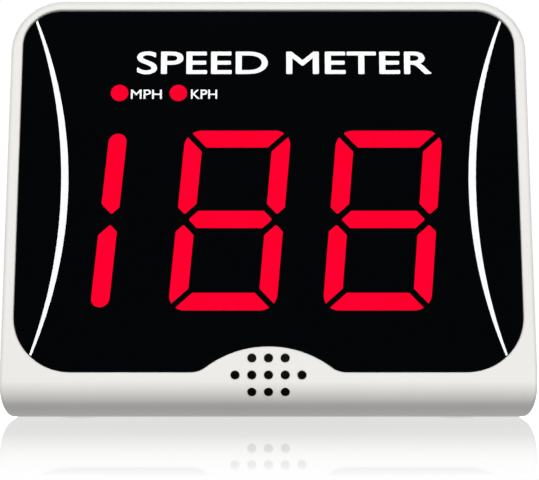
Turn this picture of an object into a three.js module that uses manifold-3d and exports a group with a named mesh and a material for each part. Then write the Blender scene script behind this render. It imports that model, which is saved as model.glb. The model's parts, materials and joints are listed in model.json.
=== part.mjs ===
// A desktop speed radar: a wedge-shaped moulded case with a black display lens on its leaning face, three
// seven-segment digits, a Doppler radar module, a loudspeaker behind a pierced chin, four AA cells behind a
// hinged door, three push buttons on the back and a brass camera-screw insert in the base.
// Millimetres. X runs across the face, Y from front to back, Z up, origin under the middle of the base.
import * as THREE from "three";
import { mergeVertices } from "three/addons/utils/BufferGeometryUtils.js";
import Module from "manifold-3d";

const wasm = await Module();
wasm.setup();

const degrees = THREE.MathUtils.degToRad;
const GAP = 0.3; // clearance between neighbouring pieces
const FAR = 200; // longer than anything here, for cutting tools

// Case
const HALF_WIDTH = 80;
const TOP_Z = 128.3;
const BASE_Z = 0.5; // the case hangs this far above the table, on its feet
const FRONT_Y = -36;
const BACK_Y = 36;
const FACE_TILT = degrees(18);
const BACK_TILT = degrees(5);
const PARTING_TILT = degrees(9);
const PARTING_Y = -8; // where the parting plane meets the base
const WALL = 2.4;
const CHIN_R = 8.5;
const HEEL_R = 4;
const EDGE_R = 1.2;
const TOP_CORNER_R = 16;
const FLANK_W = 3.7; // how far the flanks tuck in at the base
const FLANK_H = 10.5;
const LIP = 2; // tongue that locates the two shells

// Display lens
const LENS = {
  halfWidth: 76.5,
  bottom: 15,
  top: 131.9,
  bottomR: 17.5,
  topR: 12,
  archHalf: 20.6,
  archRise: 8.0,
};
const LENS_FRONT = -0.7; // depths are below the leaning face
const LENS_BACK = -3.3;
const TAPE_FRONT = -3.4;
const TAPE_BACK = -3.7;
const LEDGE_FRONT = -3.8;
const LEDGE_BACK = -5.6;
const LEDGE_WIDTH = 2.6;

// Digits
const DIGIT = {
  width: 32.5,
  height: 57.6,
  stroke: 5.5,
  cornerR: 5,
  mitre: 1.9,
  point: 1.7, // from the middle to an upright segment's tip
  tip: 0.4, // how far across its width that tip stands, from the outer edge
  slant: 0.083,
};
const DIGIT_V = 63.1;
const ONE_HEIGHT = 55.6;
const DIGITS = [
  { name: "digit_1", x: -48.5, halfBlock: 12.4, one: true },
  { name: "digit_2", x: -11.6, halfBlock: 22.9 },
  { name: "digit_3", x: 34.9, halfBlock: 22.9 },
];
const BLOCK_HALF_HEIGHT = 32;
const BLOCK_FRONT = -3.7;
const BLOCK_BACK = -11.9;
const WEB_BACK = -13.6;
const LAMP_R = 2.7;
const LAMP_V = 104.4;
const LAMPS = [
  { name: "unit_lamp_left", x: -46.1 },
  { name: "unit_lamp_right", x: -27.9 },
];
const BOARD_FRONT = -13.8;
const BOARD_BACK = -15.4;
const RADAR_BACK = -7.8; // the antenna board, and what hangs on it
const BOARD_POST_V = [38, 98];
const POST_X = 74.2;

// Loudspeaker
const SPEAKER_Z = 12.9;
const GRILLE_Z = 13.3;
const SPEAKER_R = 10;
const SPEAKER_SEAT_Y = -27.4;
const HOLE_R = 1.35;
const HOLE_PITCH = 4.98;
const HOLE_ROWS = [3, 5, 3];

// Battery bay and door, in the back plane's own frame
const CELL = { r: 7.15, length: 50.5, nub: 1, nubR: 2.75, m: -10.4, rows: [18.6, 34.6] };
const BAY = { half: 56.5, low: 10.6, high: 42.6, floor: -18.6 };
const BAY_OUTER = { half: 61, low: 7.6, high: 45.4, floor: -20.4 };
const DOOR = { half: 57.7, low: 9.7, high: 43.3, thick: 2.8 };
const LATCH = { half: 8, root: 34.2, thick: 2 };
const HINGE_PIN_R = 0.8;

const BLACK_ROUTE = [
  [-64.5, 24, -18],
  [-65, 40, -18.5],
  [-60, 50.5, -18.5],
  [-50, 51.5, -17],
  [-43, 54, -14],
  [-41, 55.5, -11.8],
];
const RED_ROUTE = [
  [-63.8, 37.5, -16],
  [-64, 44, -14],
  [-60, 52.5, -13.4],
  [-51, 58, -13.2],
  [-42, 61, -11.8],
];

// Controls and boards, in the back plane's own frame
const CONTROL_U = 90;
const BUTTONS = [
  { name: "power", a: -30, half: 0, r: 7 },
  { name: "unit", a: 0, half: 5, r: 5.5 },
  { name: "sound", a: 30, half: 5, r: 5.5 },
];
const BUTTON_TOP = 0.8;
const MAIN_BACK = -9;
const MAIN_FRONT = -10.6;
const MAIN_POSTS = [-47, 47].flatMap((a) => [53.5, 103.5].map((u) => [a, u]));
const BOARD_SCREWS = [MAIN_POSTS[1], MAIN_POSTS[2]]; // the other two posts carry locating pins
const USB = { a: 36, u: 62, half: 4.5, halfHeight: 1.65, mouth: -1.2 };

// Base
const FEET = [[-58, -17], [58, -17], [-58, 22], [58, 22]];
const FOOT_R = 5;
const FOOT_H = 1.5;
const NUT = { y: 4, r: 5.5, bore: 3.2, low: 0.8, high: 10.5 };
const CASE_SCREWS = [[-71, 17], [71, 17], [-73, 114.5], [73, 114.5]];
const SCREW_SEAT = -8;
const SCREW_TIP = 4.7;

// ---------------------------------------------------------------- materials
function plastic(color, roughness = 0.5) {
  return new THREE.MeshStandardMaterial({ color, roughness, metalness: 0 });
}

function metal(color, roughness = 0.35) {
  return new THREE.MeshStandardMaterial({ color, roughness, metalness: 1 });
}

const MATERIAL = {
  shell: plastic(0xe9e7e1, 0.42),
  lens: plastic(0x050607, 0.08),
  lit: new THREE.MeshStandardMaterial({ color: 0xf0062e, emissive: 0xf0062e, roughness: 0.3 }),
  black: plastic(0x17181a, 0.6),
  tape: plastic(0x202020, 0.9),
  button: plastic(0x8d8f92, 0.55),
  rubber: plastic(0x2a2b2c, 0.85),
  board: plastic(0x1d5a35, 0.5),
  chip: plastic(0x101114, 0.45),
  connector: plastic(0xdedbcf, 0.5),
  wire: plastic(0x9a9da0, 0.5),
  wireRed: plastic(0xb01818, 0.5),
  paper: plastic(0x1a1a1c, 0.9),
  cell: plastic(0x3a4f63, 0.4),
  steel: metal(0xb9bcc0),
  brass: metal(0xc6a257, 0.3),
};

// ---------------------------------------------------------------- geometry and solids
function solidOf(geometry) {
  const bare = geometry.clone();
  bare.deleteAttribute("normal");
  bare.deleteAttribute("uv");
  const merged = mergeVertices(bare, 1e-4);
  const vertProperties = merged.attributes.position.array;
  const triVerts = new Uint32Array(merged.index.array);
  return new wasm.Manifold(new wasm.Mesh({ numProp: 3, vertProperties, triVerts }));
}

function geometryOf(solid) {
  const mesh = solid.getMesh();
  const geometry = new THREE.BufferGeometry();
  geometry.setAttribute("position", new THREE.BufferAttribute(mesh.vertProperties, 3));
  geometry.setIndex(new THREE.BufferAttribute(mesh.triVerts, 1));
  geometry.computeVertexNormals();
  return geometry;
}

function join(first, ...others) {
  return others.reduce((sum, other) => sum.add(other), first);
}

function cut(first, ...others) {
  return others.reduce((left, other) => left.subtract(other), first);
}

// The largest body, without slivers left where two cuts graze.
function mainBody(solid) {
  return solid.decompose().sort((a, b) => b.volume() - a.volume())[0];
}

function arc(x, y, r, from, to, steps) {
  return Array.from({ length: steps + 1 }, (_, i) => {
    const angle = from + ((to - from) * i) / steps;
    return new THREE.Vector2(x + r * Math.cos(angle), y + r * Math.sin(angle));
  });
}

function outline(points) {
  const kept = points.filter((p, i) => p.distanceTo(points[(i + 1) % points.length]) > 1e-3);
  return new THREE.Shape(kept);
}

// A prism on a closed outline in the local XY plane, from z = low to z = high.
function prism(points, low, high) {
  const geometry = new THREE.ExtrudeGeometry(outline(points), { depth: high - low, bevelEnabled: false });
  return solidOf(geometry.translate(0, 0, low));
}

function box(x0, x1, y0, y1, z0, z1) {
  const geometry = new THREE.BoxGeometry(x1 - x0, y1 - y0, z1 - z0);
  return solidOf(geometry.translate((x0 + x1) / 2, (y0 + y1) / 2, (z0 + z1) / 2));
}

function disc(x, y, r, low, high, steps = 18) {
  const geometry = new THREE.CylinderGeometry(r, r, high - low, steps).rotateX(Math.PI / 2);
  return solidOf(geometry.translate(x, y, (low + high) / 2));
}

function roundedRect(x, y, width, height, r, steps = 5) {
  const [w, h] = [width / 2 - r, height / 2 - r];
  return [
    ...arc(x + w, y + h, r, 0, Math.PI / 2, steps),
    ...arc(x - w, y + h, r, Math.PI / 2, Math.PI, steps),
    ...arc(x - w, y - h, r, Math.PI, 1.5 * Math.PI, steps),
    ...arc(x + w, y - h, r, 1.5 * Math.PI, 2 * Math.PI, steps),
  ];
}

// A turned solid about the local Y axis, from (radius, y) points that start and end on the axis or close.
function turned(profile, steps = 20) {
  const geometry = new THREE.LatheGeometry(profile.map(([r, y]) => new THREE.Vector2(r, y)), steps);
  const solid = solidOf(geometry);
  if (solid.volume() > 0) return solid;
  return solidOf(new THREE.LatheGeometry(profile.map(([r, y]) => new THREE.Vector2(r, y)).reverse(), steps));
}

function roundSection(r, sides) {
  return Array.from({ length: sides }, (_, i) => {
    const angle = (2 * Math.PI * i) / sides;
    return new THREE.Vector2(r * Math.cos(angle), r * Math.sin(angle));
  });
}

// A round wire or flat cable whose section is swept along a smooth curve through the points.
function swept(section, points, steps) {
  const extrudePath = new THREE.CatmullRomCurve3(points.map((p) => new THREE.Vector3(...p)));
  const settings = { steps, extrudePath, bevelEnabled: false };
  return solidOf(new THREE.ExtrudeGeometry(new THREE.Shape(section), settings));
}

// ---------------------------------------------------------------- frames
// Local axes and origin of the leaning face, the back plane and the parting plane: local Z points out.
function frameOf(acrossX, tilt, outwardY, originY) {
  const x = new THREE.Vector3(acrossX, 0, 0);
  const z = new THREE.Vector3(0, outwardY * Math.cos(tilt), Math.sin(tilt));
  const y = new THREE.Vector3().crossVectors(z, x);
  return new THREE.Matrix4().makeBasis(x, y, z).setPosition(0, originY, 0);
}

const chin = { y: FRONT_Y + CHIN_R, z: BASE_Z + CHIN_R };
const heel = { y: BACK_Y - HEEL_R, z: BASE_Z + HEEL_R };

// Front surface: the leaning face above the rounded chin.
function frontY(z, inset) {
  const r = CHIN_R - inset;
  const tangentZ = chin.z + r * Math.sin(FACE_TILT);
  if (z >= tangentZ) return chin.y - r * Math.cos(FACE_TILT) + (z - tangentZ) * Math.tan(FACE_TILT);
  return chin.y - Math.sqrt(Math.max(0, r ** 2 - (z - chin.z) ** 2));
}

// Back surface: the back plane above the rounded heel.
function backY(z, inset) {
  const r = HEEL_R - inset;
  const tangentZ = heel.z + r * Math.sin(BACK_TILT);
  if (z >= tangentZ) return heel.y + r * Math.cos(BACK_TILT) - (z - tangentZ) * Math.tan(BACK_TILT);
  return heel.y + Math.sqrt(Math.max(0, r ** 2 - (z - heel.z) ** 2));
}

function planeAtZero(surface, slope) {
  return surface(TOP_Z / 2, 0) - slope * (TOP_Z / 2);
}

const FACE = frameOf(1, FACE_TILT, -1, planeAtZero(frontY, Math.tan(FACE_TILT)));
const BACK = frameOf(-1, BACK_TILT, 1, planeAtZero(backY, -Math.tan(BACK_TILT)));
const PARTING = frameOf(1, PARTING_TILT, -1, PARTING_Y - BASE_Z * Math.tan(PARTING_TILT));

function placed(solid, frame) {
  return solid.transform(frame.elements);
}

// ---------------------------------------------------------------- case body
function halfWidthAt(z, inset, roundedBy) {
  const cornerZ = TOP_Z - TOP_CORNER_R;
  if (z > cornerZ) {
    const r = TOP_CORNER_R - inset - roundedBy;
    return HALF_WIDTH - TOP_CORNER_R + Math.sqrt(Math.max(0, r ** 2 - (z - cornerZ) ** 2));
  }
  const below = Math.max(0, BASE_Z + FLANK_H - z) / FLANK_H;
  return HALF_WIDTH - FLANK_W * (1 - Math.sqrt(1 - Math.min(1, below) ** 2)) - inset - roundedBy;
}

// One level section of the case, anticlockwise from above: its right half from front to back, then its left.
function sectionAt(z, inset, steps) {
  const r = Math.max(0.4, EDGE_R - inset);
  const start = Math.acos((r - Math.min(r, TOP_Z - inset - z)) / r);
  const front = Array.from({ length: steps + 1 }, (_, i) => {
    const angle = start * (1 - i / steps);
    return [halfWidthAt(z, inset, r - r * Math.cos(angle)), r - r * Math.sin(angle)];
  });
  const right = [
    ...front.map(([x, depth]) => [x, frontY(z, inset) + depth]),
    ...front.reverse().map(([x, depth]) => [x, backY(z, inset) - depth]),
  ];
  const left = right.map(([x, y]) => [-x, y]).reverse();
  return [...right, ...left].map(([x, y]) => [x, y, z]);
}

function levels(inset) {
  const low = BASE_Z + inset;
  const chinR = CHIN_R - inset;
  const chinSteps = 5;
  const chinLevels = Array.from({ length: chinSteps + 1 }, (_, i) => {
    const angle = -Math.PI / 2 + ((Math.PI / 2 + FACE_TILT) * i) / chinSteps;
    return chin.z + chinR * Math.sin(angle);
  });
  const cornerSteps = 6;
  const cornerR = TOP_CORNER_R - inset;
  const cornerLevels = Array.from({ length: cornerSteps + 1 }, (_, i) => {
    const rise = cornerR * Math.sin((Math.PI / 2) * (i / cornerSteps));
    return TOP_Z - TOP_CORNER_R + Math.min(rise, cornerR - 0.02);
  });
  return [low, ...chinLevels.slice(1), ...cornerLevels];
}

function bodySolid(inset, steps = 3) {
  const rings = levels(inset).map((z) => sectionAt(z, inset, steps));
  const count = rings[0].length;
  const index = [];
  const quad = (a, b, c, d) => index.push(a, b, c, a, c, d);
  for (let level = 0; level < rings.length - 1; level++)
    for (let i = 0; i < count; i++) {
      const [a, b] = [level * count + i, level * count + ((i + 1) % count)];
      quad(a, b, b + count, a + count);
    }
  const last = (rings.length - 1) * count;
  for (let i = 0; i < count / 2 - 1; i++) {
    quad(last + i, last + i + 1, last + count - 2 - i, last + count - 1 - i);
    quad(count - 1 - i, count - 2 - i, i + 1, i);
  }
  const geometry = new THREE.BufferGeometry();
  geometry.setAttribute("position", new THREE.Float32BufferAttribute(rings.flat(2), 3));
  geometry.setIndex(index);
  return solidOf(geometry);
}

const outer = bodySolid(0);
const cavity = bodySolid(WALL);
const tongueRoom = bodySolid(WALL / 2 - GAP / 2);
const tongueBody = bodySolid(WALL / 2 + GAP / 2);
const innerRoom = bodySolid(WALL + GAP);
const core = bodySolid(WALL - 1); // posts and ribs stop inside this, fused into the walls

// Everything in front of the parting plane from local z = low to z = high.
function partingSlab(low, high) {
  return placed(box(-FAR, FAR, -FAR, FAR, low, high), PARTING);
}

// ---------------------------------------------------------------- lens outline and digit outlines
function lensOutline(inset, steps = 6) {
  const { halfWidth, bottom, top, bottomR, topR, archHalf, archRise } = LENS;
  const archR = (archHalf ** 2 + archRise ** 2) / (2 * archRise);
  const archV = bottom + archRise - archR;
  const [w, low, high] = [halfWidth - inset, bottom + inset, top - inset];
  const [rLow, rHigh] = [bottomR - inset, topR - inset];
  const lift = Math.asin((low - archV) / (archR + inset));
  return [
    ...arc(0, archV, archR + inset, Math.PI - lift, lift, steps),
    ...arc(w - rLow, low + rLow, rLow, -Math.PI / 2, 0, steps),
    ...arc(w - rHigh, high - rHigh, rHigh, 0, Math.PI / 2, steps),
    ...arc(rHigh - w, high - rHigh, rHigh, Math.PI / 2, Math.PI, steps),
    ...arc(rLow - w, low + rLow, rLow, Math.PI, 1.5 * Math.PI, steps),
  ];
}

const flipX = (points) => points.map((p) => new THREE.Vector2(-p.x, p.y));
const flipY = (points) => points.map((p) => new THREE.Vector2(p.x, -p.y));

// The seven segments of an eight, grown by a clearance all round.
function eightSegments(grow) {
  const [w, h] = [DIGIT.width / 2 + grow, DIGIT.height / 2 + grow];
  const [t, r] = [DIGIT.stroke + 2 * grow, DIGIT.cornerR + grow];
  const mitre = DIGIT.mitre - 2 * grow;
  const [side, point] = [mitre * Math.SQRT1_2, DIGIT.point - grow * Math.SQRT2];
  const swing = Math.asin(mitre / (2 * r));
  const quarter = Math.PI / 4;
  const tipX = DIGIT.tip * DIGIT.stroke - DIGIT.width / 2;
  const topLeft = arc(r - w, h - r, r, 3 * quarter - swing, 2 * quarter, 3);
  const top = [new THREE.Vector2(t + side - w, h - t), ...topLeft];
  const a = [...top, ...flipX(top).reverse()];
  const f = [
    ...arc(r - w, h - r, r, 3 * quarter + swing, 4 * quarter, 3),
    new THREE.Vector2(-w, point + tipX + w),
    new THREE.Vector2(tipX, point),
    new THREE.Vector2(t - w, point + t - w - tipX),
    new THREE.Vector2(t - w, h - t - side),
  ];
  const end = [
    new THREE.Vector2(tipX + side + t / 2, -t / 2),
    new THREE.Vector2(tipX + side, 0),
    new THREE.Vector2(tipX + side + t / 2, t / 2),
  ];
  const g = [...end, ...flipX(end).reverse()];
  return [a, flipY(a), f, flipX(f), flipY(f), flipY(flipX(f)), g];
}

// The two segments of a leading one: round at the outer end, pointed at the middle.
function oneSegments(grow) {
  const t = DIGIT.stroke + 2 * grow;
  const point = DIGIT.point - grow * Math.SQRT2;
  const tipX = (0.5 - DIGIT.tip) * DIGIT.stroke;
  const upper = [
    ...arc(0, ONE_HEIGHT / 2 + grow - t / 2, t / 2, 0, Math.PI, 8),
    new THREE.Vector2(-t / 2, point + tipX + t / 2),
    new THREE.Vector2(tipX, point),
    new THREE.Vector2(t / 2, point - tipX + t / 2),
  ];
  return [upper, flipY(upper)];
}

function segmentsOf(digit, grow) {
  const plain = digit.one ? oneSegments(grow) : eightSegments(grow);
  const lean = (p) => new THREE.Vector2(digit.x + p.x + DIGIT.slant * p.y, DIGIT_V + p.y);
  return plain.map((points) => points.map(lean));
}

// ---------------------------------------------------------------- front shell
function grilleHoles() {
  return HOLE_ROWS.flatMap((count, row) =>
    Array.from({ length: count }, (_, i) => {
      const geometry = new THREE.CylinderGeometry(HOLE_R, HOLE_R, 24, 10);
      geometry.translate((i - (count - 1) / 2) * HOLE_PITCH, FRONT_Y + 6, GRILLE_Z + (1 - row) * HOLE_PITCH);
      return solidOf(geometry);
    }),
  );
}

function speakerTube(r, from, to) {
  const geometry = new THREE.CylinderGeometry(r, r, to - from, 24);
  return solidOf(geometry.translate(0, (from + to) / 2, SPEAKER_Z));
}

// A post under the lens ledge, ribbed to the flank, with a heat-staked pin through the display board.
function facePost(x, v) {
  const top = LEDGE_FRONT - 0.5;
  const [near, far] = [Math.min(x, x * 1.08), Math.max(x, x * 1.08)];
  const post = disc(x, v, 2.6, BOARD_FRONT + GAP / 2, top);
  const rib = box(near, far, v - 0.8, v + 0.8, BOARD_FRONT + GAP, top);
  const pin = disc(x, v, 1.1, BOARD_BACK - 1.4, BOARD_FRONT + GAP);
  const head = disc(x, v, 1.9, BOARD_BACK - 1.4, BOARD_BACK - GAP);
  return placed(join(post, rib, pin, head), FACE);
}

function frontCasePost([x, z]) {
  const v = z / Math.cos(PARTING_TILT);
  const flank = Math.sign(x) * (HALF_WIDTH - 1);
  const rib = box(Math.min(x, flank), Math.max(x, flank), v - 0.9, v + 0.9, GAP, 30);
  return placed(join(disc(x, v, 3.4, GAP / 2, 40), rib), PARTING);
}

function screwHole([x, z]) {
  return placed(disc(x, z / Math.cos(PARTING_TILT), 1.8, -1, SCREW_TIP + GAP, 14), PARTING);
}

// The ring round the loudspeaker, with the seat its gasket is pressed on.
function speakerCollar() {
  const ring = speakerTube(12, FRONT_Y, SPEAKER_SEAT_Y + 3.8);
  return cut(ring, speakerTube(8.4, SPEAKER_SEAT_Y - 3, FAR)).intersect(core);
}

function footRecess([x, y]) {
  return disc(x, y, FOOT_R + GAP, 0, FOOT_H + GAP);
}

function frontHousing() {
  const shell = cut(outer, cavity).intersect(partingSlab(0, FAR));
  const groove = cut(tongueRoom, innerRoom).intersect(partingSlab(-1, LIP + GAP));
  const ledge = placed(prism(lensOutline(-1.8), LEDGE_BACK, -1), FACE);
  const behindLens = placed(box(-FAR, FAR, -FAR, FAR, -FAR, LEDGE_BACK + 0.4), FACE);
  const lowerCase = placed(box(-FAR, FAR, -FAR, 30, -FAR, 0), FACE);
  const postRoom = join(behindLens, lowerCase).intersect(core);
  const posts = join(...CASE_SCREWS.map(frontCasePost)).intersect(postRoom);
  const boardPosts = BOARD_POST_V.flatMap((v) => [facePost(-POST_X, v), facePost(POST_X, v)]);
  const boardSupport = join(...boardPosts).intersect(core);
  const solid = join(shell, ledge.intersect(core), posts, speakerCollar(), boardSupport);
  return cut(
    solid,
    groove,
    placed(prism(lensOutline(-GAP / 2), LEDGE_FRONT, 20), FACE),
    placed(prism(lensOutline(LEDGE_WIDTH), LEDGE_BACK - 0.2, 20), FACE),
    speakerTube(SPEAKER_R + GAP, SPEAKER_SEAT_Y, 0),
    ...grilleHoles(),
    ...FEET.slice(0, 2).map(footRecess),
    ...CASE_SCREWS.map(screwHole),
  );
}

// ---------------------------------------------------------------- rear shell
function rearCaseBoss([x, z]) {
  return placed(disc(x, z / Math.cos(PARTING_TILT), 4.7, -60, -GAP), PARTING);
}

function screwWell([x, z]) {
  const v = z / Math.cos(PARTING_TILT);
  return placed(join(disc(x, v, 3.3, -FAR, SCREW_SEAT), disc(x, v, 1.8, SCREW_SEAT - 1, 1, 14)), PARTING);
}

function buttonOutline({ a, half, r }, grow) {
  return roundedRect(a, CONTROL_U, 2 * (half + r + grow), 2 * (r + grow), r + grow - 0.01, 6);
}

function hingeHole(side) {
  const r = HINGE_PIN_R + GAP;
  const geometry = new THREE.CylinderGeometry(r, r, 4, 16).rotateZ(Math.PI / 2);
  geometry.translate(side * (DOOR.half - 0.1), DOOR.low + DOOR.thick / 2, -DOOR.thick / 2);
  return solidOf(geometry);
}

function bayCradles() {
  const room = CELL.rows.map((u) => {
    const geometry = new THREE.CylinderGeometry(CELL.r + GAP, CELL.r + GAP, FAR, 24).rotateZ(Math.PI / 2);
    return solidOf(geometry.translate(0, u, CELL.m));
  });
  return [-36, -12, 12, 36].map((a) =>
    cut(box(a - 1, a + 1, BAY.low - 1, BAY.high + 1, BAY.floor - 1, CELL.m - 3), ...room),
  );
}

// Slit in the end wall of the bay that a contact's solder tab leaves by.
function tabSlot(u) {
  return box(-BAY_OUTER.half - 1, -BAY.half + 1, u - 1.8, u + 1.8, CELL.m - 4.7, CELL.m - 3.6);
}

function rearHousing() {
  const shell = cut(outer, cavity).intersect(partingSlab(-FAR, -GAP));
  const tongue = cut(tongueBody, cavity).intersect(partingSlab(-4, LIP));
  const bosses = join(...CASE_SCREWS.map(rearCaseBoss)).intersect(core);
  const bay = box(-BAY_OUTER.half, BAY_OUTER.half, BAY_OUTER.low, BAY_OUTER.high, BAY_OUTER.floor, -1);
  const posts = MAIN_POSTS.map(([a, u]) => disc(a, u, 3, MAIN_BACK + GAP / 2, -1));
  const pinned = MAIN_POSTS.filter((post) => !BOARD_SCREWS.includes(post));
  const pins = pinned.map(([a, u]) => disc(a, u, 1, MAIN_FRONT - 0.8, -8, 12));
  const inner = placed(join(bay, ...posts, ...pins), BACK).intersect(core);
  const nutBoss = disc(0, NUT.y, 8, BASE_Z + 0.2, NUT.high + 2.5, 24);
  const solid = join(shell, tongue, bosses, inner, nutBoss);
  const openings = join(
    box(-BAY.half, BAY.half, BAY.low, BAY.high, BAY.floor, 20),
    box(-DOOR.half - GAP, DOOR.half + GAP, DOOR.low - GAP, DOOR.high + GAP, -DOOR.thick - GAP, 20),
    hingeHole(-1),
    hingeHole(1),
    prism(roundedRect(0, CONTROL_U, 94, 24, 6), -0.6, 20),
    prism(roundedRect(USB.a, USB.u, 14, 8, 3.9), -0.6, 20),
    prism(roundedRect(USB.a, USB.u, 2 * (USB.half + GAP), 2 * (USB.halfHeight + GAP), 1.9), -8, 20),
    ...BUTTONS.map((button) => prism(buttonOutline(button, GAP), -8, 20)),
    ...BOARD_SCREWS.map(([a, u]) => disc(a, u, 1.3, -20, -3, 12)),
    ...CELL.rows.map(tabSlot),
  );
  const cradles = placed(join(...bayCradles()), BACK);
  return join(
    cut(
      solid,
      placed(openings, BACK),
      disc(0, NUT.y, NUT.r + GAP, -1, NUT.high + GAP, 24),
      ...CASE_SCREWS.map(screwWell),
      ...FEET.slice(2).map(footRecess),
    ),
    cradles,
  );
}

// ---------------------------------------------------------------- display stack, in the face frame
function displayLens() {
  const windows = DIGITS.flatMap((digit) => segmentsOf(digit, GAP)).map((points) => prism(points, -5, 5));
  const lampHoles = LAMPS.map(({ x }) => disc(x, LAMP_V, LAMP_R + GAP, -5, 5));
  return cut(prism(lensOutline(GAP / 2), LENS_BACK, LENS_FRONT), ...windows, ...lampHoles);
}

function lensTape() {
  return cut(prism(lensOutline(0.5), TAPE_BACK, TAPE_FRONT), prism(lensOutline(2.3), -5, 5));
}

function digitBlockBox(digit, shrink, low, high) {
  const [w, h] = [digit.halfBlock - shrink, BLOCK_HALF_HEIGHT - shrink];
  return box(digit.x - w, digit.x + w, DIGIT_V - h, DIGIT_V + h, low, high);
}

function digitReflector(digit) {
  const wells = segmentsOf(digit, GAP).map((points) => prism(points, -20, 5));
  return cut(digitBlockBox(digit, 0, BLOCK_BACK, BLOCK_FRONT), ...wells);
}

function digitDiffuser(digit) {
  const pillars = segmentsOf(digit, 0).map((points) => prism(points, WEB_BACK + 0.5, LENS_FRONT));
  return join(digitBlockBox(digit, 0.4, WEB_BACK, BLOCK_BACK - GAP), ...pillars);
}

function lampShroud() {
  const [low, high] = [LAMPS[0].x - 5.2, LAMPS[1].x + 5.2];
  const shape = roundedRect((low + high) / 2, LAMP_V, high - low, 8.8, 1.5, 3);
  const wells = LAMPS.map(({ x }) => disc(x, LAMP_V, LAMP_R + GAP, -20, 5));
  return cut(prism(shape, BLOCK_BACK, BLOCK_FRONT), ...wells);
}

function unitLamp({ x }) {
  const dome = disc(x, LAMP_V, LAMP_R, BLOCK_BACK - 1, LENS_FRONT);
  return join(dome, disc(x, LAMP_V, LAMP_R + 0.5, WEB_BACK, BLOCK_BACK - GAP));
}

function displayBoard() {
  const lower = box(-76.5, 76.5, 31, 104, BOARD_BACK, BOARD_FRONT);
  const tab = box(-40, 40, 103, 126, BOARD_BACK, BOARD_FRONT);
  const holes = BOARD_POST_V.flatMap((v) => [-POST_X, POST_X].map((x) => disc(x, v, 1.1 + GAP, -20, 0, 14)));
  return cut(join(lower, tab), ...holes);
}

function radarBoard() {
  const face = RADAR_BACK + 0.9;
  const patches = [-13, -4.5, 4.5, 13].flatMap((x) =>
    [112, 120.5].map((v) => box(x - 2.6, x + 2.6, v - 2.6, v + 2.6, face - 0.1, face + 0.2)),
  );
  return join(box(-22, 22, 107, 125.5, RADAR_BACK, face), ...patches);
}

function radarShield() {
  const top = RADAR_BACK - 0.1;
  return cut(box(-17, 13, 109, 123, top - 3, top), box(-16.6, 12.6, 109.4, 122.6, top - 2.6, top + 1));
}

function radarHeader() {
  return box(16.5, 20.5, 108, 124, BOARD_FRONT + 0.1, RADAR_BACK - 0.1);
}

// ---------------------------------------------------------------- loudspeaker, turned about an axis along Y
function speakerFrame() {
  const [rim, back] = [SPEAKER_SEAT_Y + 0.9, SPEAKER_SEAT_Y + 5.4];
  const outside = [[0, back], [7.2, back], [SPEAKER_R, rim + 1.2], [SPEAKER_R, rim]];
  const inside = [[9, rim], [9, rim + 0.9], [6.8, back - 0.8], [0, back - 0.8]];
  return turned([...outside, ...inside]);
}

function speakerMagnet() {
  const back = SPEAKER_SEAT_Y + 5.5;
  return turned([[0, back], [6.5, back], [6.5, back + 2.5], [6, back + 3], [0, back + 3]]);
}

function speakerCone() {
  const rim = SPEAKER_SEAT_Y + 1.1;
  const front = [[0, rim + 1.4], [2.2, rim + 2.1], [7, rim + 0.2], [8.4, rim]];
  const behind = [[8.4, rim + 0.35], [7, rim + 0.6], [2.2, rim + 2.6], [0, rim + 1.9]];
  return turned([...front, ...behind]);
}

function speakerGasket() {
  const seat = SPEAKER_SEAT_Y + 0.1;
  return turned([[8.6, seat], [10, seat], [10, seat + 0.7], [8.6, seat + 0.7], [8.6, seat]]);
}

// ---------------------------------------------------------------- battery bay contents, in the back frame
// A cell along local X from `from`, its button end towards `way`.
function cell(u, from, way) {
  const { r, length, nub, nubR } = CELL;
  const body = length - nub;
  const can = [[0, 0], [r - 0.4, 0], [r, 0.4], [r, body - 0.4], [r - 0.4, body]];
  const button = [[nubR, body], [nubR, length], [0, length]];
  return turned([...can, ...button]).rotate([0, 0, -90 * way]).translate([from, u, CELL.m]);
}

function contactSpring(u, side) {
  const turns = 3;
  const steps = 26;
  const [rest, end] = [side * (BAY.half - 0.9), side * (BAY.half - 7.8)];
  const points = Array.from({ length: steps + 1 }, (_, i) => {
    const t = i / steps;
    const angle = 2 * Math.PI * turns * t;
    const r = 4.4 - 1.6 * t;
    return [rest + (end - rest) * t, u + r * Math.cos(angle), CELL.m + r * Math.sin(angle)];
  });
  const wire = roundSection(0.4, 5);
  return join(swept(wire, points, 36), contactLeaf(u, side));
}

function contactLeaf(u, side) {
  const [inner, wall] = [side * (BAY.half - 1.1), side * (BAY.half - 0.5)];
  return box(Math.min(inner, wall), Math.max(inner, wall), u - 5.5, u + 5.5, CELL.m - 5.5, CELL.m + 5.5);
}

function contactPlate(u, side) {
  const dome = disc(0, 0, 2, 0, 2.4, 16).rotate([0, -90 * side, 0]);
  return join(contactLeaf(u, side), dome.translate([side * (BAY.half - 0.8), u, CELL.m]));
}

// The strip that joins the lower row's button end to the upper row's spring.
function contactBridge() {
  const [low, high] = CELL.rows;
  const strip = box(BAY.half - 1.1, BAY.half - 0.5, low, high, CELL.m - 5.5, CELL.m - 1.5);
  return join(contactPlate(low, 1), contactSpring(high, 1), strip);
}

// Solder tab through the end wall of the bay.
function contactTab(u) {
  return box(-BAY_OUTER.half - 2.5, -BAY.half + 0.9, u - 1.5, u + 1.5, CELL.m - 4.4, CELL.m - 3.9);
}

function batteryLead(u, route) {
  const section = roundSection(0.6, 6);
  return swept(section, [[-BAY_OUTER.half - 2, u, CELL.m - 5.2], ...route], 22);
}

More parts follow.
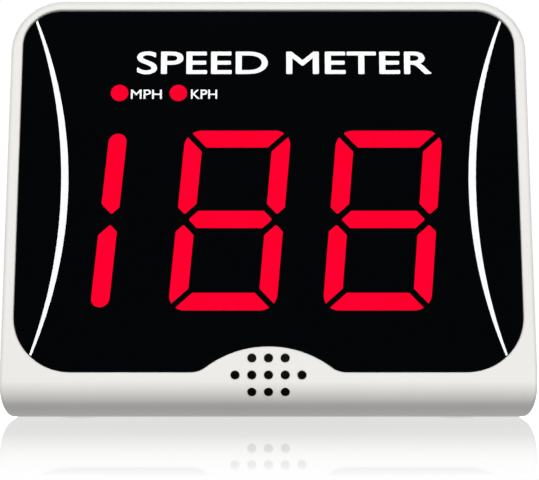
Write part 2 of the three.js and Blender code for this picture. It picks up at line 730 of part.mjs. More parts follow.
function batteryDoor() {
  const { half, low, high, thick } = DOOR;
  const axis = low + thick / 2;
  const profile = [
    new THREE.Vector2(high, 0),
    ...arc(axis, -thick / 2, thick / 2, Math.PI / 2, 1.5 * Math.PI, 8),
    new THREE.Vector2(high, -thick),
  ];
  const [x, y, z] = [new THREE.Vector3(1, 0, 0), new THREE.Vector3(0, 1, 0), new THREE.Vector3(0, 0, 1)];
  const along = new THREE.Matrix4().makeBasis(y, z, x);
  const panel = prism(profile, -half, half).transform(along.elements);
  const pins = [-1, 1].map((side) => {
    const geometry = new THREE.CylinderGeometry(HINGE_PIN_R, HINGE_PIN_R, 3, 16).rotateZ(Math.PI / 2);
    return solidOf(geometry.translate(side * half, axis, -thick / 2));
  });
  const notch = box(-LATCH.half - 0.4, LATCH.half + 0.4, LATCH.root - GAP, high + 5, -5, 5);
  return join(cut(panel, notch), ...pins);
}

function doorLatch() {
  const { half, root, thick } = LATCH;
  const tip = DOOR.high - 0.2;
  const ridge = prism(roundedRect(0, tip - 2, 11, 1.6, 0.7, 3), -0.5, 0.5);
  const hook = box(-half + 2, half - 2, BAY.high - 1.6, BAY.high - GAP, -3.4, -1);
  return join(box(-half, half, root, tip, -thick, 0), hook, ridge);
}

// ---------------------------------------------------------------- controls and main board, in the back frame
function buttonCap(button) {
  return join(
    prism(buttonOutline(button, 0), -3.2, BUTTON_TOP),
    prism(buttonOutline(button, 1.2), -3.7, -2.7),
    disc(button.a, CONTROL_U, 1.9, -4.9, -3.5, 16),
  );
}

function switchBase({ a }) {
  const block = box(a - 3.1, a + 3.1, CONTROL_U - 3.1, CONTROL_U + 3.1, MAIN_BACK + 0.1, -5.9);
  return cut(block, disc(a, CONTROL_U, 1.9, -8.2, 0, 20));
}

function switchPlunger({ a }) {
  return disc(a, CONTROL_U, 1.6, -7, -5.1, 20);
}

function mainBoard() {
  const board = prism(roundedRect(0, 78.5, 104, 59, 2, 3), MAIN_FRONT, MAIN_BACK);
  return cut(board, ...MAIN_POSTS.map(([a, u]) => disc(a, u, 1.4, -20, 0, 14)));
}

function boardScrew([a, u]) {
  return join(disc(a, u, 2.2, MAIN_FRONT - 1.4, MAIN_FRONT - 0.1, 18), disc(a, u, 1, MAIN_FRONT - 1, -4, 12));
}

function usbSocket() {
  const { a, u, half, halfHeight, mouth } = USB;
  const shell = prism(roundedRect(a, u, 2 * half, 2 * halfHeight, 1.5, 4), MAIN_BACK + 0.1, mouth);
  const hollow = prism(roundedRect(a, u, 2 * half - 0.6, 2 * halfHeight - 0.6, 1.2, 4), mouth - 6, 5);
  const tongue = box(a - 3.3, a + 3.3, u - 0.35, u + 0.35, mouth - 6.5, mouth - 0.8);
  return join(cut(shell, hollow), tongue);
}

function supplyCapacitor() {
  return disc(-30, 70, 4, MAIN_FRONT - 8, MAIN_FRONT - 0.1, 20);
}

function processorChip() {
  return box(12, 22, 78, 88, MAIN_FRONT - 1.3, MAIN_FRONT - 0.1);
}

function mainConnector() {
  return box(-7, 7, 55.5, 60.5, MAIN_FRONT - 4, MAIN_FRONT - 0.1);
}

function displayConnector() {
  return box(-7, 7, 57.5, 62.5, BOARD_BACK - 4, BOARD_BACK - 0.1);
}

// ---------------------------------------------------------------- base fittings, screws and leads
function caseScrew([x, z]) {
  const v = z / Math.cos(PARTING_TILT);
  const head = disc(x, v, 2.8, SCREW_SEAT - 2.1, SCREW_SEAT - 0.1, 20);
  const shank = disc(x, v, 1.5, SCREW_SEAT - 1, SCREW_TIP, 14);
  const slot = (w, h) => box(x - w, x + w, v - h, v + h, -FAR, SCREW_SEAT - 1);
  return cut(join(head, shank), slot(1.6, 0.35), slot(0.35, 1.6));
}

function tripodNut() {
  const { r, bore, low, high } = NUT;
  const groove = [[r, high - 2], [r - 0.5, high - 1.6], [r - 0.5, high - 1.2], [r, high - 0.8]];
  return turned([[bore, low], [r, low], ...groove, [r, high], [bore, high], [bore, low]], 24);
}

function foot() {
  return turned([[0, 0], [FOOT_R - 0.3, 0], [FOOT_R, 0.3], [FOOT_R, FOOT_H], [0, FOOT_H]], 24);
}

function displayRibbon() {
  const section = [[-6, -0.2], [6, -0.2], [6, 0.2], [-6, 0.2]].map(([x, y]) => new THREE.Vector2(x, y));
  const route = [
    [0, -2, 50.9],
    [0, 1.5, 49.9],
    [0, 5.5, 48.8],
    [0, 10.5, 49.6],
    [0, 13.8, 52.8],
    [0, 16.3, 56.2],
  ];
  return swept(section, route, 16);
}

function speakerLead() {
  const section = roundSection(0.8, 6);
  const back = SPEAKER_SEAT_Y + 8.9;
  const route = [
    [3.5, back, 13.5],
    [6, back + 4, 13.8],
    [12, back + 9, 17],
    [16, -3.5, 26],
    [18, 2, 36],
    [20, 8, 46],
    [20, 13.6, 53.5],
  ];
  return swept(section, route, 24);
}

// ---------------------------------------------------------------- assembly
const part = new THREE.Group();

function groupAt(frame) {
  const group = new THREE.Group();
  group.applyMatrix4(frame);
  part.add(group);
  return group;
}

function addPiece(group, name, solid, material) {
  const mesh = new THREE.Mesh(geometryOf(solid), material);
  mesh.name = name;
  group.add(mesh);
  return mesh;
}

const face = groupAt(FACE);
const back = groupAt(BACK);
const parting = groupAt(PARTING);
const speaker = new THREE.Group();
speaker.position.set(0, 0, SPEAKER_Z);
part.add(speaker);

addPiece(part, "front_housing", mainBody(frontHousing()), MATERIAL.shell);
addPiece(part, "rear_housing", mainBody(rearHousing()), MATERIAL.shell);

addPiece(face, "display_lens", displayLens(), MATERIAL.lens);
addPiece(face, "lens_tape", lensTape(), MATERIAL.tape);
for (const digit of DIGITS) {
  addPiece(face, digit.name + "_reflector", digitReflector(digit), MATERIAL.black);
  addPiece(face, digit.name + "_diffuser", digitDiffuser(digit), MATERIAL.lit);
}
for (const lamp of LAMPS) addPiece(face, lamp.name, unitLamp(lamp), MATERIAL.lit);
addPiece(face, "lamp_shroud", lampShroud(), MATERIAL.black);
addPiece(face, "display_board", displayBoard(), MATERIAL.board);
addPiece(face, "display_connector", displayConnector(), MATERIAL.connector);
addPiece(face, "radar_board", radarBoard(), MATERIAL.board);
addPiece(face, "radar_shield", radarShield(), MATERIAL.steel);
addPiece(face, "radar_header", radarHeader(), MATERIAL.chip);

addPiece(speaker, "speaker_frame", speakerFrame(), MATERIAL.steel);
addPiece(speaker, "speaker_magnet", speakerMagnet(), MATERIAL.steel);
addPiece(speaker, "speaker_cone", speakerCone(), MATERIAL.paper);
addPiece(speaker, "speaker_gasket", speakerGasket(), MATERIAL.tape);

// Each row holds two cells in line; the upper row faces the other way.
CELL.rows.forEach((u, row) => {
  const way = row === 0 ? 1 : -1;
  const starts = [-way * (BAY.half - 8.5), way * (CELL.length + GAP - BAY.half + 8.5)];
  starts.forEach((from, i) => {
    addPiece(back, `battery_${2 * row + i + 1}`, cell(u, from, way), MATERIAL.cell);
  });
});
const [lowRow, highRow] = CELL.rows;
addPiece(back, "contact_spring", join(contactSpring(lowRow, -1), contactTab(lowRow)), MATERIAL.steel);
addPiece(back, "contact_plate", join(contactPlate(highRow, -1), contactTab(highRow)), MATERIAL.steel);
addPiece(back, "contact_bridge", contactBridge(), MATERIAL.steel);
addPiece(back, "battery_lead_black", batteryLead(lowRow, BLACK_ROUTE), MATERIAL.black);
addPiece(back, "battery_lead_red", batteryLead(highRow, RED_ROUTE), MATERIAL.wireRed);
addPiece(back, "battery_door", batteryDoor(), MATERIAL.shell);
addPiece(back, "door_latch", doorLatch(), MATERIAL.shell);

for (const button of BUTTONS) {
  addPiece(back, button.name + "_button", buttonCap(button), MATERIAL.button);
  addPiece(back, button.name + "_plunger", switchPlunger(button), MATERIAL.black);
  addPiece(back, button.name + "_switch", switchBase(button), MATERIAL.steel);
}
addPiece(back, "main_board", mainBoard(), MATERIAL.board);
BOARD_SCREWS.forEach((post, i) => addPiece(back, `board_screw_${i + 1}`, boardScrew(post), MATERIAL.steel));
addPiece(back, "usb_socket", usbSocket(), MATERIAL.steel);
addPiece(back, "supply_capacitor", supplyCapacitor(), MATERIAL.chip);
addPiece(back, "processor_chip", processorChip(), MATERIAL.chip);
addPiece(back, "main_connector", mainConnector(), MATERIAL.connector);

CASE_SCREWS.forEach((place, i) => addPiece(parting, `case_screw_${i + 1}`, caseScrew(place), MATERIAL.steel));
const nut = addPiece(part, "tripod_nut", tripodNut(), MATERIAL.brass);
nut.rotation.x = Math.PI / 2;
nut.position.set(0, NUT.y, 0);
FEET.forEach(([x, y], i) => {
  const mesh = addPiece(part, `foot_${i + 1}`, foot(), MATERIAL.rubber);
  mesh.rotation.x = Math.PI / 2;
  mesh.position.set(x, y, 0);
});
addPiece(part, "display_ribbon", displayRibbon(), MATERIAL.wire);
addPiece(part, "speaker_lead", speakerLead(), MATERIAL.wire);

export default part;
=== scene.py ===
"""Looks of a desktop speed radar: fine outer surfaces over the CAD frame, materials, light and camera."""
import json
import math

import bmesh
import bpy
from mathutils import Matrix, Vector


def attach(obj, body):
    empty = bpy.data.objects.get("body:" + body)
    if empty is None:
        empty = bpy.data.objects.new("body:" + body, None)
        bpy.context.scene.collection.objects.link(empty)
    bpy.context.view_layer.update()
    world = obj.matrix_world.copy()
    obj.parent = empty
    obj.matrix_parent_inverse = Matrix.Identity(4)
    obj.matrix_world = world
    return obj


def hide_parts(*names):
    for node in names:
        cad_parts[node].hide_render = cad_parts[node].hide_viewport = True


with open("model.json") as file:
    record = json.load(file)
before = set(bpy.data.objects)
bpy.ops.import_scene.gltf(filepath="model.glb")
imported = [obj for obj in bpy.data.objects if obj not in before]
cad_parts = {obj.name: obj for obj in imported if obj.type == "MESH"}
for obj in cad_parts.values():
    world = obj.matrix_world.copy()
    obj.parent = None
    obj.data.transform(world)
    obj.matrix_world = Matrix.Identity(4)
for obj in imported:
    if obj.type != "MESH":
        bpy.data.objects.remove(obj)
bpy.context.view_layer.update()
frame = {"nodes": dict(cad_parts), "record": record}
NODES = frame["nodes"]
scene = bpy.context.scene
MM = 0.001

# ---- sizes, as in the CAD model, in millimetres
HALF_WIDTH, TOP_Z, BASE_Z, FRONT_Y, BACK_Y = 80.0, 128.3, 0.5, -36.0, 36.0
FACE_TILT, BACK_TILT, PARTING_TILT = (math.radians(a) for a in (18, 5, 9))
PARTING_Y, WALL = -8.0, 2.4
CHIN_R, HEEL_R, EDGE_R, TOP_CORNER_R = 8.5, 4.0, 1.2, 16.0
FLANK_W, FLANK_H = 3.7, 10.5  # how far each flank curves in at the base, and over what height
SEAM_GROOVE = 0.3
LENS_HALF, LENS_BOTTOM, LENS_TOP, LENS_BOTTOM_R, LENS_TOP_R = 76.5, 15.0, 131.9, 17.5, 12.0
ARCH_HALF, ARCH_RISE, ARCH_FOOT_R = 20.6, 8.0, 7.0
LENS_FRONT, LENS_BACK, LENS_GAP = -0.7, -3.3, 0.12  # depths are below the leaning face
LEDGE_FRONT, LEDGE_BACK, LEDGE_WIDTH = -3.8, -5.6, 2.6
DIGIT_W, DIGIT_H, DIGIT_V, STROKE, CORNER_R, SLANT = 32.5, 57.6, 63.1, 5.5, 5.0, 0.083
MITRE, POINT, TIP, ONE_HEIGHT = 1.9, 1.7, 0.4, 55.6
SEGMENT_SOFTNESS = 0.5
DIFFUSER_BACK, DIFFUSER_WEB = -13.6, 1.4
DIGITS = [("digit_1", -48.5, True), ("digit_2", -11.6, False), ("digit_3", 34.9, False)]
LAMP_R, LAMP_V, LAMPS = 2.7, 104.4, [("unit_lamp_left", -46.1), ("unit_lamp_right", -27.9)]
GRILLE_Z, HOLE_R, HOLE_PITCH, HOLE_ROWS = 13.3, 1.35, 4.98, (3, 5, 3)
SPEAKER_Z, SPEAKER_SEAT_Y, SPEAKER_SEAT_R = 12.9, -27.4, 10.3
SOUND_WELL_R, COLLAR_R, COLLAR_DEPTH = 8.4, 12.0, 3.8
BAY_HALF, BAY_LOW, BAY_HIGH, BAY_FLOOR = 56.5, 10.6, 42.6, -18.6
BAY_SHELL = (-61, 61, 7.6, 45.4, -20.4, -1)  # across, up the back and out of it: each from and to
CRADLES, CRADLE_HALF = (-36, -12, 12, 36), 1.0
DOOR_HALF, DOOR_LOW, DOOR_HIGH, DOOR_THICK = 57.7, 9.7, 43.3, 2.8
PIN_R, PIN_REACH = 0.8, 1.5
LATCH_HALF, LATCH_ROOT, LATCH_THICK, LATCH_SIDE_GAP = 8.0, 34.2, 2.0, 0.4
CELL_R, CELL_LENGTH, CELL_M, CELL_ROWS = 7.15, 50.5, -10.4, (18.6, 34.6)
CONTROL_U, BUTTON_TOP, BUTTON_GAP, FLANGE = 90.0, 0.8, 0.25, 1.2
BUTTONS = [("power", -30.0, 0.0, 7.0), ("unit", 0.0, 5.0, 5.5), ("sound", 30.0, 5.0, 5.5)]
RECESS, PANEL_W, PANEL_H, PANEL_R = 0.6, 94.0, 24.0, 6.0
USB_A, USB_U, USB_HALF, USB_HALF_H = 36.0, 62.0, 4.5, 1.65
FEET = [(-58, -17), (58, -17), (-58, 22), (58, 22)]
FOOT_R, FOOT_H = 5.0, 1.5
NUT_Y, NUT_R, NUT_TOP, NUT_BOSS_R = 4.0, 5.5, 10.5, 8.0
SCREWS = [(-71, 17), (71, 17), (-73, 114.5), (73, 114.5)]
WELL_R, SCREW_BOSS_R, WELL_DEPTH = 3.3, 4.7, 8.0
GAP = 0.3

# sizes that only the modelling needs
REACH, CLEAR = 200.0, 8.0  # beyond the whole case, and out of the surface that a tool cuts
BITE = 1.0  # how far an inner feature runs into the wall that carries it
SHARP_ANGLE, FLAT_ANGLE = math.radians(32), 0.002


# ---- frames of the leaning face, the back and the seam
def frame_of(across, tilt, outward, origin_y):
    x = Vector((across, 0, 0))
    z = Vector((0, outward * math.cos(tilt), math.sin(tilt)))
    y = z.cross(x)
    m = Matrix((x, y, z)).transposed().to_4x4()
    m.translation = (0, origin_y, 0)
    return m


def front_y(z, inset=0.0):
    r, cy, cz = CHIN_R - inset, FRONT_Y + CHIN_R, BASE_Z + CHIN_R
    tangent = cz + r * math.sin(FACE_TILT)
    if z >= tangent:
        return cy - r * math.cos(FACE_TILT) + (z - tangent) * math.tan(FACE_TILT)
    return cy - math.sqrt(max(0.0, r * r - (z - cz) ** 2))


def back_y(z, inset=0.0):
    r, cy, cz = HEEL_R - inset, BACK_Y - HEEL_R, BASE_Z + HEEL_R
    tangent = cz + r * math.sin(BACK_TILT)
    if z >= tangent:
        return cy + r * math.cos(BACK_TILT) - (z - tangent) * math.tan(BACK_TILT)
    return cy + math.sqrt(max(0.0, r * r - (z - cz) ** 2))


FACE = frame_of(1, FACE_TILT, -1, front_y(64) - 64 * math.tan(FACE_TILT))
BACK = frame_of(-1, BACK_TILT, 1, back_y(64) + 64 * math.tan(BACK_TILT))
SEAM = frame_of(1, PARTING_TILT, -1, PARTING_Y - BASE_Z * math.tan(PARTING_TILT))
WORLD = Matrix.Identity(4)


# ---- outlines
def arc(x, y, r, start, end, steps):
    angles = [start + (end - start) * i / steps for i in range(steps + 1)]
    return [(x + r * math.cos(a), y + r * math.sin(a)) for a in angles]


def rounded_rect(x, y, width, height, r, steps=8):
    w, h, q = width / 2 - r, height / 2 - r, math.pi / 2
    corners = [(w, h, 0), (-w, h, q), (-w, -h, 2 * q), (w, -h, 3 * q)]
    return [p for cx, cy, a in corners for p in arc(x + cx, y + cy, r, a, a + q, steps)]


def circle(x, y, r, steps=48):
    return arc(x, y, r, 0, 2 * math.pi, steps)[:-1]


def lens_outline(inset):
    """The lens opening: rounded corners, and an arch that runs into the lower edge through reverse curves."""
    steps = 20
    arch_r = (ARCH_HALF**2 + ARCH_RISE**2) / (2 * ARCH_RISE)
    arch_v = LENS_BOTTOM + ARCH_RISE - arch_r
    w, low, high = LENS_HALF - inset, LENS_BOTTOM + inset, LENS_TOP - inset
    r_low, r_high, blend = LENS_BOTTOM_R - inset, LENS_TOP_R - inset, ARCH_FOOT_R - inset
    reach = math.sqrt((arch_r + inset + blend) ** 2 - (low + blend - arch_v) ** 2)
    turn = math.atan2(low + blend - arch_v, reach)
    q = math.pi / 2
    return (
        arc(-reach, low + blend, blend, -q, -turn, steps // 3)[:-1]
        + arc(0, arch_v, arch_r + inset, math.pi - turn, turn, steps)
        + arc(reach, low + blend, blend, math.pi + turn, 3 * q, steps // 3)[1:]
        + arc(w - r_low, low + r_low, r_low, -q, 0, steps)
        + arc(w - r_high, high - r_high, r_high, 0, q, steps)
        + arc(r_high - w, high - r_high, r_high, q, 2 * q, steps)
        + arc(r_low - w, low + r_low, r_low, 2 * q, 3 * q, steps)
    )


def flip_x(points):
    return [(-x, y) for x, y in points]


def flip_y(points):
    return [(x, -y) for x, y in points]


def eight_segments(grow):
    """The seven bars of a digit about its centre, each grown by a margin: top, bottom, four sides, middle."""
    w, h, t, r = DIGIT_W / 2 + grow, DIGIT_H / 2 + grow, STROKE + 2 * grow, CORNER_R + grow
    mitre = MITRE - 2 * grow
    side, point, tip = mitre * math.sqrt(0.5), POINT - grow * math.sqrt(2), TIP * STROKE - DIGIT_W / 2
    swing, q = math.asin(mitre / (2 * r)), math.pi / 4
    left = [(t + side - w, h - t)] + arc(r - w, h - r, r, 3 * q - swing, 2 * q, 8)
    top = left + flip_x(left)[::-1]
    upper = arc(r - w, h - r, r, 3 * q + swing, 4 * q, 8) + [
        (-w, point + tip + w), (tip, point), (t - w, point + t - w - tip), (t - w, h - t - side),
    ]
    end = [(tip + side + t / 2, -t / 2), (tip + side, 0), (tip + side + t / 2, t / 2)]
    middle = end + flip_x(end)[::-1]
    return [top, flip_y(top), upper, flip_x(upper), flip_y(upper), flip_y(flip_x(upper)), middle]


def one_segments(grow):
    """The two bars of the leading one."""
    t, point, tip = STROKE + 2 * grow, POINT - grow * math.sqrt(2), (0.5 - TIP) * STROKE
    upper = arc(0, ONE_HEIGHT / 2 + grow - t / 2, t / 2, 0, math.pi, 16) + [
        (-t / 2, point + tip + t / 2), (tip, point), (t / 2, point - tip + t / 2),
    ]
    return [upper, flip_y(upper)]


def segments(x0, one, grow):
    """A digit's bars in the face's frame, slanted about its own centre."""
    plain = one_segments(grow) if one else eight_segments(grow)
    return [[(x0 + x + SLANT * y, DIGIT_V + y) for x, y in s] for s in plain]


def soften(points, r):
    """The outline with each sharp corner turned through a small curve; long arcs and short edges stay."""
    out, steps = [], 3
    for i, p in enumerate(points):
        a, b, c = Vector(points[i - 1]), Vector(p), Vector(points[(i + 1) % len(points)])
        u, v = a - b, c - b
        if u.length < 1e-6 or v.length < 1e-6:
            continue
        angle = u.angle(v)
        cut = r / math.tan(angle / 2) if angle < math.radians(165) else 0
        if cut == 0 or cut > 0.45 * min(u.length, v.length):
            out.append(tuple(b))
            continue
        start, end = b + u.normalized() * cut, b + v.normalized() * cut
        for k in range(steps + 1):
            s = k / steps
            q = start.lerp(b, s).lerp(b.lerp(end, s), s)
            out.append(tuple(q))
    return out


# ---- meshes
def area2(points):
    return sum(a[0] * b[1] - b[0] * a[1] for a, b in zip(points, points[1:] + points[:1]))


def clean(points):
    pts = [p for i, p in enumerate(points) if math.dist(p, points[i - 1]) > 1e-4]
    return pts if area2(pts) > 0 else pts[::-1]


def outward(me):
    """The same closed, single-shell mesh, with every face turned outwards."""
    bm = bmesh.new()
    bm.from_mesh(me)
    bmesh.ops.remove_doubles(bm, verts=bm.verts, dist=1e-8)
    bmesh.ops.recalc_face_normals(bm, faces=bm.faces)
    if bm.calc_volume(signed=True) < 0:
        bmesh.ops.reverse_faces(bm, faces=bm.faces)
    bm.to_mesh(me)
    bm.free()
    return me


def mesh_of(name, rings, frame_m=WORLD, caps=True):
    """A closed mesh lofted through rings of the same number of (x, y, z) points, in a frame."""
    verts = [frame_m @ Vector(p) * MM for ring in rings for p in ring]
    n, faces = len(rings[0]), []
    for level in range(len(rings) - 1):
        for i in range(n):
            j = (i + 1) % n
            faces.append((level * n + i, level * n + j, (level + 1) * n + j, (level + 1) * n + i))
    if caps:
        faces.append(tuple(range(n))[::-1])
        faces.append(tuple((len(rings) - 1) * n + i for i in range(n)))
    me = bpy.data.meshes.new(name)
    me.from_pydata(verts, [], faces)
    return outward(me)


def prism(points, low, high, frame_m=WORLD):
    pts = clean(points)
    return mesh_of("prism", [[(x, y, z) for x, y in pts] for z in (low, high)], frame_m)


def rimmed(outline, low, top, frame_m, r):
    """A cutting tool whose mouth, at height top, opens through a radius: outline(grow) gives its section."""
    rings, steps = [[(x, y, low) for x, y in outline(0)]], 4
    for k in range(steps + 1):
        a = math.pi / 2 * k / steps
        rings.append([(x, y, top - r + r * math.sin(a)) for x, y in outline(r * (1 - math.cos(a)))])
    rings.append([(x, y, top + CLEAR) for x, y in outline(r)])
    return mesh_of("tool", rings, frame_m)


def pillow(outline, low, top, frame_m, r, steps=5):
    """A closed raised shape with a rounded top edge: outline(grow) gives its section."""
    rings = [[(x, y, low) for x, y in outline(0)]]
    for k in range(steps + 1):
        a = math.pi / 2 * k / steps
        rings.append([(x, y, top - r + r * math.sin(a)) for x, y in outline(-r * (1 - math.cos(a)))])
    return mesh_of("pillow", rings, frame_m)


def lathe(profile, steps=64, frame_m=WORLD):
    """A solid with flat ends, turned about local Z from (radius, z) points."""
    return mesh_of("lathe", [[(x, y, z) for x, y in circle(0, 0, r, steps)] for r, z in profile], frame_m)


def box(x0, x1, y0, y1, z0, z1, frame_m=WORLD):
    return prism([(x0, y0), (x1, y0), (x1, y1), (x0, y1)], z0, z1, frame_m)


def joined(meshes):
    """Several meshes as one."""
    bm = bmesh.new()
    for me in meshes:
        bm.from_mesh(me)
    out = bpy.data.meshes.new("joined")
    bm.to_mesh(out)
    bm.free()
    return out


def volume(me):
    bm = bmesh.new()
    bm.from_mesh(me)
    size = bm.calc_volume()
    bm.free()
    return size


def boolean(target, operation, *tools):
    """target combined with each tool in turn, as a new mesh."""
    result = target
    for tool in tools:
        pair = [bpy.data.objects.new("work", result), bpy.data.objects.new("tool", tool)]
        for obj in pair:
            scene.collection.objects.link(obj)
        mod = pair[0].modifiers.new("b", "BOOLEAN")
        mod.operation, mod.object = operation, pair[1]
        before, way = volume(result), 1 if operation == "UNION" else -1
        for solver in ("MANIFOLD", "EXACT"):
            mod.solver = solver
            bpy.context.view_layer.update()
            graph = bpy.context.evaluated_depsgraph_get()
            made = bpy.data.meshes.new_from_object(pair[0].evaluated_get(graph))
            if len(made.vertices) and way * (volume(made) - before) > 1e-14:
                break
            print("boolean: the", solver, "solver gave nothing of use")
        result = made
        for obj in pair:
            bpy.data.objects.remove(obj)
    return result


def piece(name, me, material, body, replaces=(), weighted=True, flat=False):
    """A mesh as a piece of the visual; flat joins coplanar faces, so that a boolean's slivers don't show."""
    bm = bmesh.new()
    bm.from_mesh(me)
    bmesh.ops.remove_doubles(bm, verts=bm.verts, dist=2e-6)
    bmesh.ops.dissolve_degenerate(bm, edges=bm.edges, dist=1e-6)
    if flat:
        bmesh.ops.dissolve_limit(
            bm, angle_limit=FLAT_ANGLE, verts=bm.verts, edges=bm.edges, delimit={"NORMAL"}
        )
    bm.to_mesh(me)
    bm.free()
    me.materials.clear()
    me.materials.append(material)
    me.shade_smooth()
    me.set_sharp_from_angle(angle=SHARP_ANGLE)
    obj = bpy.data.objects.new(name, me)
    me.name = name
    scene.collection.objects.link(obj)
    if weighted:
        mod = obj.modifiers.new("normals", "WEIGHTED_NORMAL")
        mod.keep_sharp, mod.weight = True, 50
    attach(obj, body)
    if replaces:
        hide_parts(*replaces)
    return obj


# ---- case body
def half_width(z, inset, rounded_by):
    """Half the width of the case at a height, drawn in by the wall and by the rounding of its long edges."""
    corner = TOP_Z - TOP_CORNER_R
    if z > corner:
        r = TOP_CORNER_R - inset - rounded_by
        return HALF_WIDTH - TOP_CORNER_R + math.sqrt(max(0.0, r * r - (z - corner) ** 2))
    below = min(1.0, max(0.0, BASE_Z + FLANK_H - z) / FLANK_H)
    return HALF_WIDTH - FLANK_W * (1 - math.sqrt(1 - below * below)) - inset - rounded_by


def section(z, inset, steps):
    """The case cut level at a height: a closed ring with rounded corners at the front and the back."""
    least_r = 0.4
    r = max(least_r, EDGE_R - inset)
    start = math.acos((r - min(r, TOP_Z - inset - z)) / r)
    front = []
    for i in range(steps + 1):
        a = start * (1 - i / steps)
        front.append((half_width(z, inset, r - r * math.cos(a)), r - r * math.sin(a)))
    right = [(x, front_y(z, inset) + d) for x, d in front]
    right += [(x, back_y(z, inset) - d) for x, d in front[::-1]]
    left = [(-x, y) for x, y in right][::-1]
    return [(x, y, z) for x, y in right + left]


def body_levels(inset, chin_steps, corner_steps):
    """Heights of the case's rings: close together round the chin, the base and the top corners."""
    low, chin_z, r = BASE_Z + inset, BASE_Z + CHIN_R, CHIN_R - inset
    zs = [low]
    for i in range(1, chin_steps + 1):
        zs.append(chin_z + r * math.sin(-math.pi / 2 + (math.pi / 2 + FACE_TILT) * i / chin_steps))
    corner_r = TOP_CORNER_R - inset
    for i in range(corner_steps + 1):
        rise = corner_r * math.sin(math.pi / 2 * i / corner_steps)
        zs.append(TOP_Z - TOP_CORNER_R + min(rise, corner_r - 0.004))  # the last ring keeps a width
    if chin_steps > 8:
        zs += [BASE_Z + FLANK_H * (1 - math.cos(math.pi / 2 * k / 8)) for k in (1, 2)]
        zs = sorted(z for z in set(round(z, 4) for z in zs) if z >= low)
        zs = [z for i, z in enumerate(zs) if i == 0 or z - zs[i - 1] > 0.03 or z > TOP_Z - 0.05]
    return zs


def body_mesh(inset, steps=8, chin_steps=22, corner_steps=28):
    """The whole case as one solid, its surface moved inwards by the inset."""
    rings = [section(z, inset, steps) for z in body_levels(inset, chin_steps, corner_steps)]
    return mesh_of("body", rings)


def coarse(inset):
    return body_mesh(inset, 4, 8, 9)


def seam_slab(low, high):
    return box(-REACH, REACH, -REACH, REACH, low, high, SEAM)


def seam_groove(low, high):
    """A tool that takes a shallow groove out of the case's outside, between two heights above the seam."""
    skin = boolean(body_mesh(-1), "DIFFERENCE", body_mesh(0.35))
    return boolean(skin, "INTERSECT", seam_slab(low, high))


def foot_recess(x, y):
    return prism(circle(x, y, FOOT_R + 0.15), -1, FOOT_H + GAP)


def v_of(z):
    return z / math.cos(PARTING_TILT)


# ---- materials
class Shader:
    """A small helper round one principled material."""

    def __init__(self, name, color, roughness, metallic=0.0, **extra):
        self.material = bpy.data.materials.new(name)
        self.material.use_nodes = True
        self.tree = self.material.node_tree
        self.bsdf = self.tree.nodes["Principled BSDF"]
        self.set("Base Color", (*color, 1)).set("Roughness", roughness).set("Metallic", metallic)
        for key, value in extra.items():
            self.set(key.replace("_", " "), value)
        self.position = self.tree.nodes.new("ShaderNodeTexCoord").outputs["Object"]
        self.height = None

    def set(self, name, value):
        self.bsdf.inputs[name].default_value = value
        return self

    def node(self, kind, **inputs):
        n = self.tree.nodes.new(kind)
        for key, value in inputs.items():
            socket = n.inputs[key.replace("_", " ")]
            if isinstance(value, bpy.types.NodeSocket):
                self.tree.links.new(value, socket)
            else:
                socket.default_value = value
        return n

    def noise(self, scale, detail=3.0, stretch=None):
        source = self.position
        if stretch:
            source = self.node("ShaderNodeMapping", Vector=source, Scale=stretch).outputs[0]
        return self.node("ShaderNodeTexNoise", Vector=source, Scale=scale, Detail=detail).outputs["Fac"]

    def ranged(self, value, low, high, start=0.0, end=1.0):
        n = self.node("ShaderNodeMapRange", Value=value)
        n.inputs["From Min"].default_value, n.inputs["From Max"].default_value = start, end
        n.inputs["To Min"].default_value, n.inputs["To Max"].default_value = low, high
        return n.outputs[0]

    def math(self, operation, a, b):
        n = self.tree.nodes.new("ShaderNodeMath")
        n.operation = operation
        for i, value in enumerate((a, b)):
            if isinstance(value, bpy.types.NodeSocket):
                self.tree.links.new(value, n.inputs[i])
            else:
                n.inputs[i].default_value = value
        return n.outputs[0]

    def mix(self, factor, a, b):
        n = self.tree.nodes.new("ShaderNodeMix")
        n.data_type = "RGBA"
        for socket, value in ((n.inputs[0], factor), (n.inputs[6], a), (n.inputs[7], b)):
            if isinstance(value, bpy.types.NodeSocket):
                self.tree.links.new(value, socket)
            else:
                socket.default_value = value if not isinstance(value, tuple) else (*value, 1)
        return n.outputs[2]

    def link(self, name, value):
        self.tree.links.new(value, self.bsdf.inputs[name])
        return self

    def bump(self, height, distance, strength=1.0):
        n = self.node("ShaderNodeBump", Height=height, Distance=distance, Strength=strength)
        return self.link("Normal", n.outputs[0])


def casing_material():
    """White ABS with a fine spark-eroded texture, and painted shade that darkens what faces up."""
    s = Shader("casing_white", (0.83, 0.82, 0.795), 0.6)
    grain, cloud = s.noise(3800, 2), s.noise(35, 4)
    s.link("Roughness", s.math("ADD", s.ranged(grain, -0.06, 0.06), s.ranged(cloud, 0.54, 0.64)))
    tone = s.mix(s.ranged(cloud, 0.0, 1.0, 0.3, 0.7), (0.82, 0.808, 0.78), (0.845, 0.836, 0.812))
    # painted shade: on faces that point up, the base colour goes darker towards (0.68, 0.671, 0.648), to hold
    # down the light they get from above
    normal = s.node("ShaderNodeNewGeometry").outputs["Normal"]
    upward = s.node("ShaderNodeSeparateXYZ", Vector=normal).outputs[2]
    s.link("Base Color", s.mix(s.ranged(upward, 0.0, 1.0, 0.305, 0.45), tone, (0.68, 0.671, 0.648)))
    s.bump(grain, 0.00004, 0.35)
    return s.material


def lens_material():
    """Polished black acrylic, with the faint ripple of a moulded sheet."""
    s = Shader("lens_black", (0.0008, 0.0012, 0.0016), 0.09, IOR=1.45)
    s.link("Roughness", s.ranged(s.noise(60, 3), 0.03, 0.06))
    s.bump(s.noise(22, 1), 0.0002, 0.02)
    return s.material


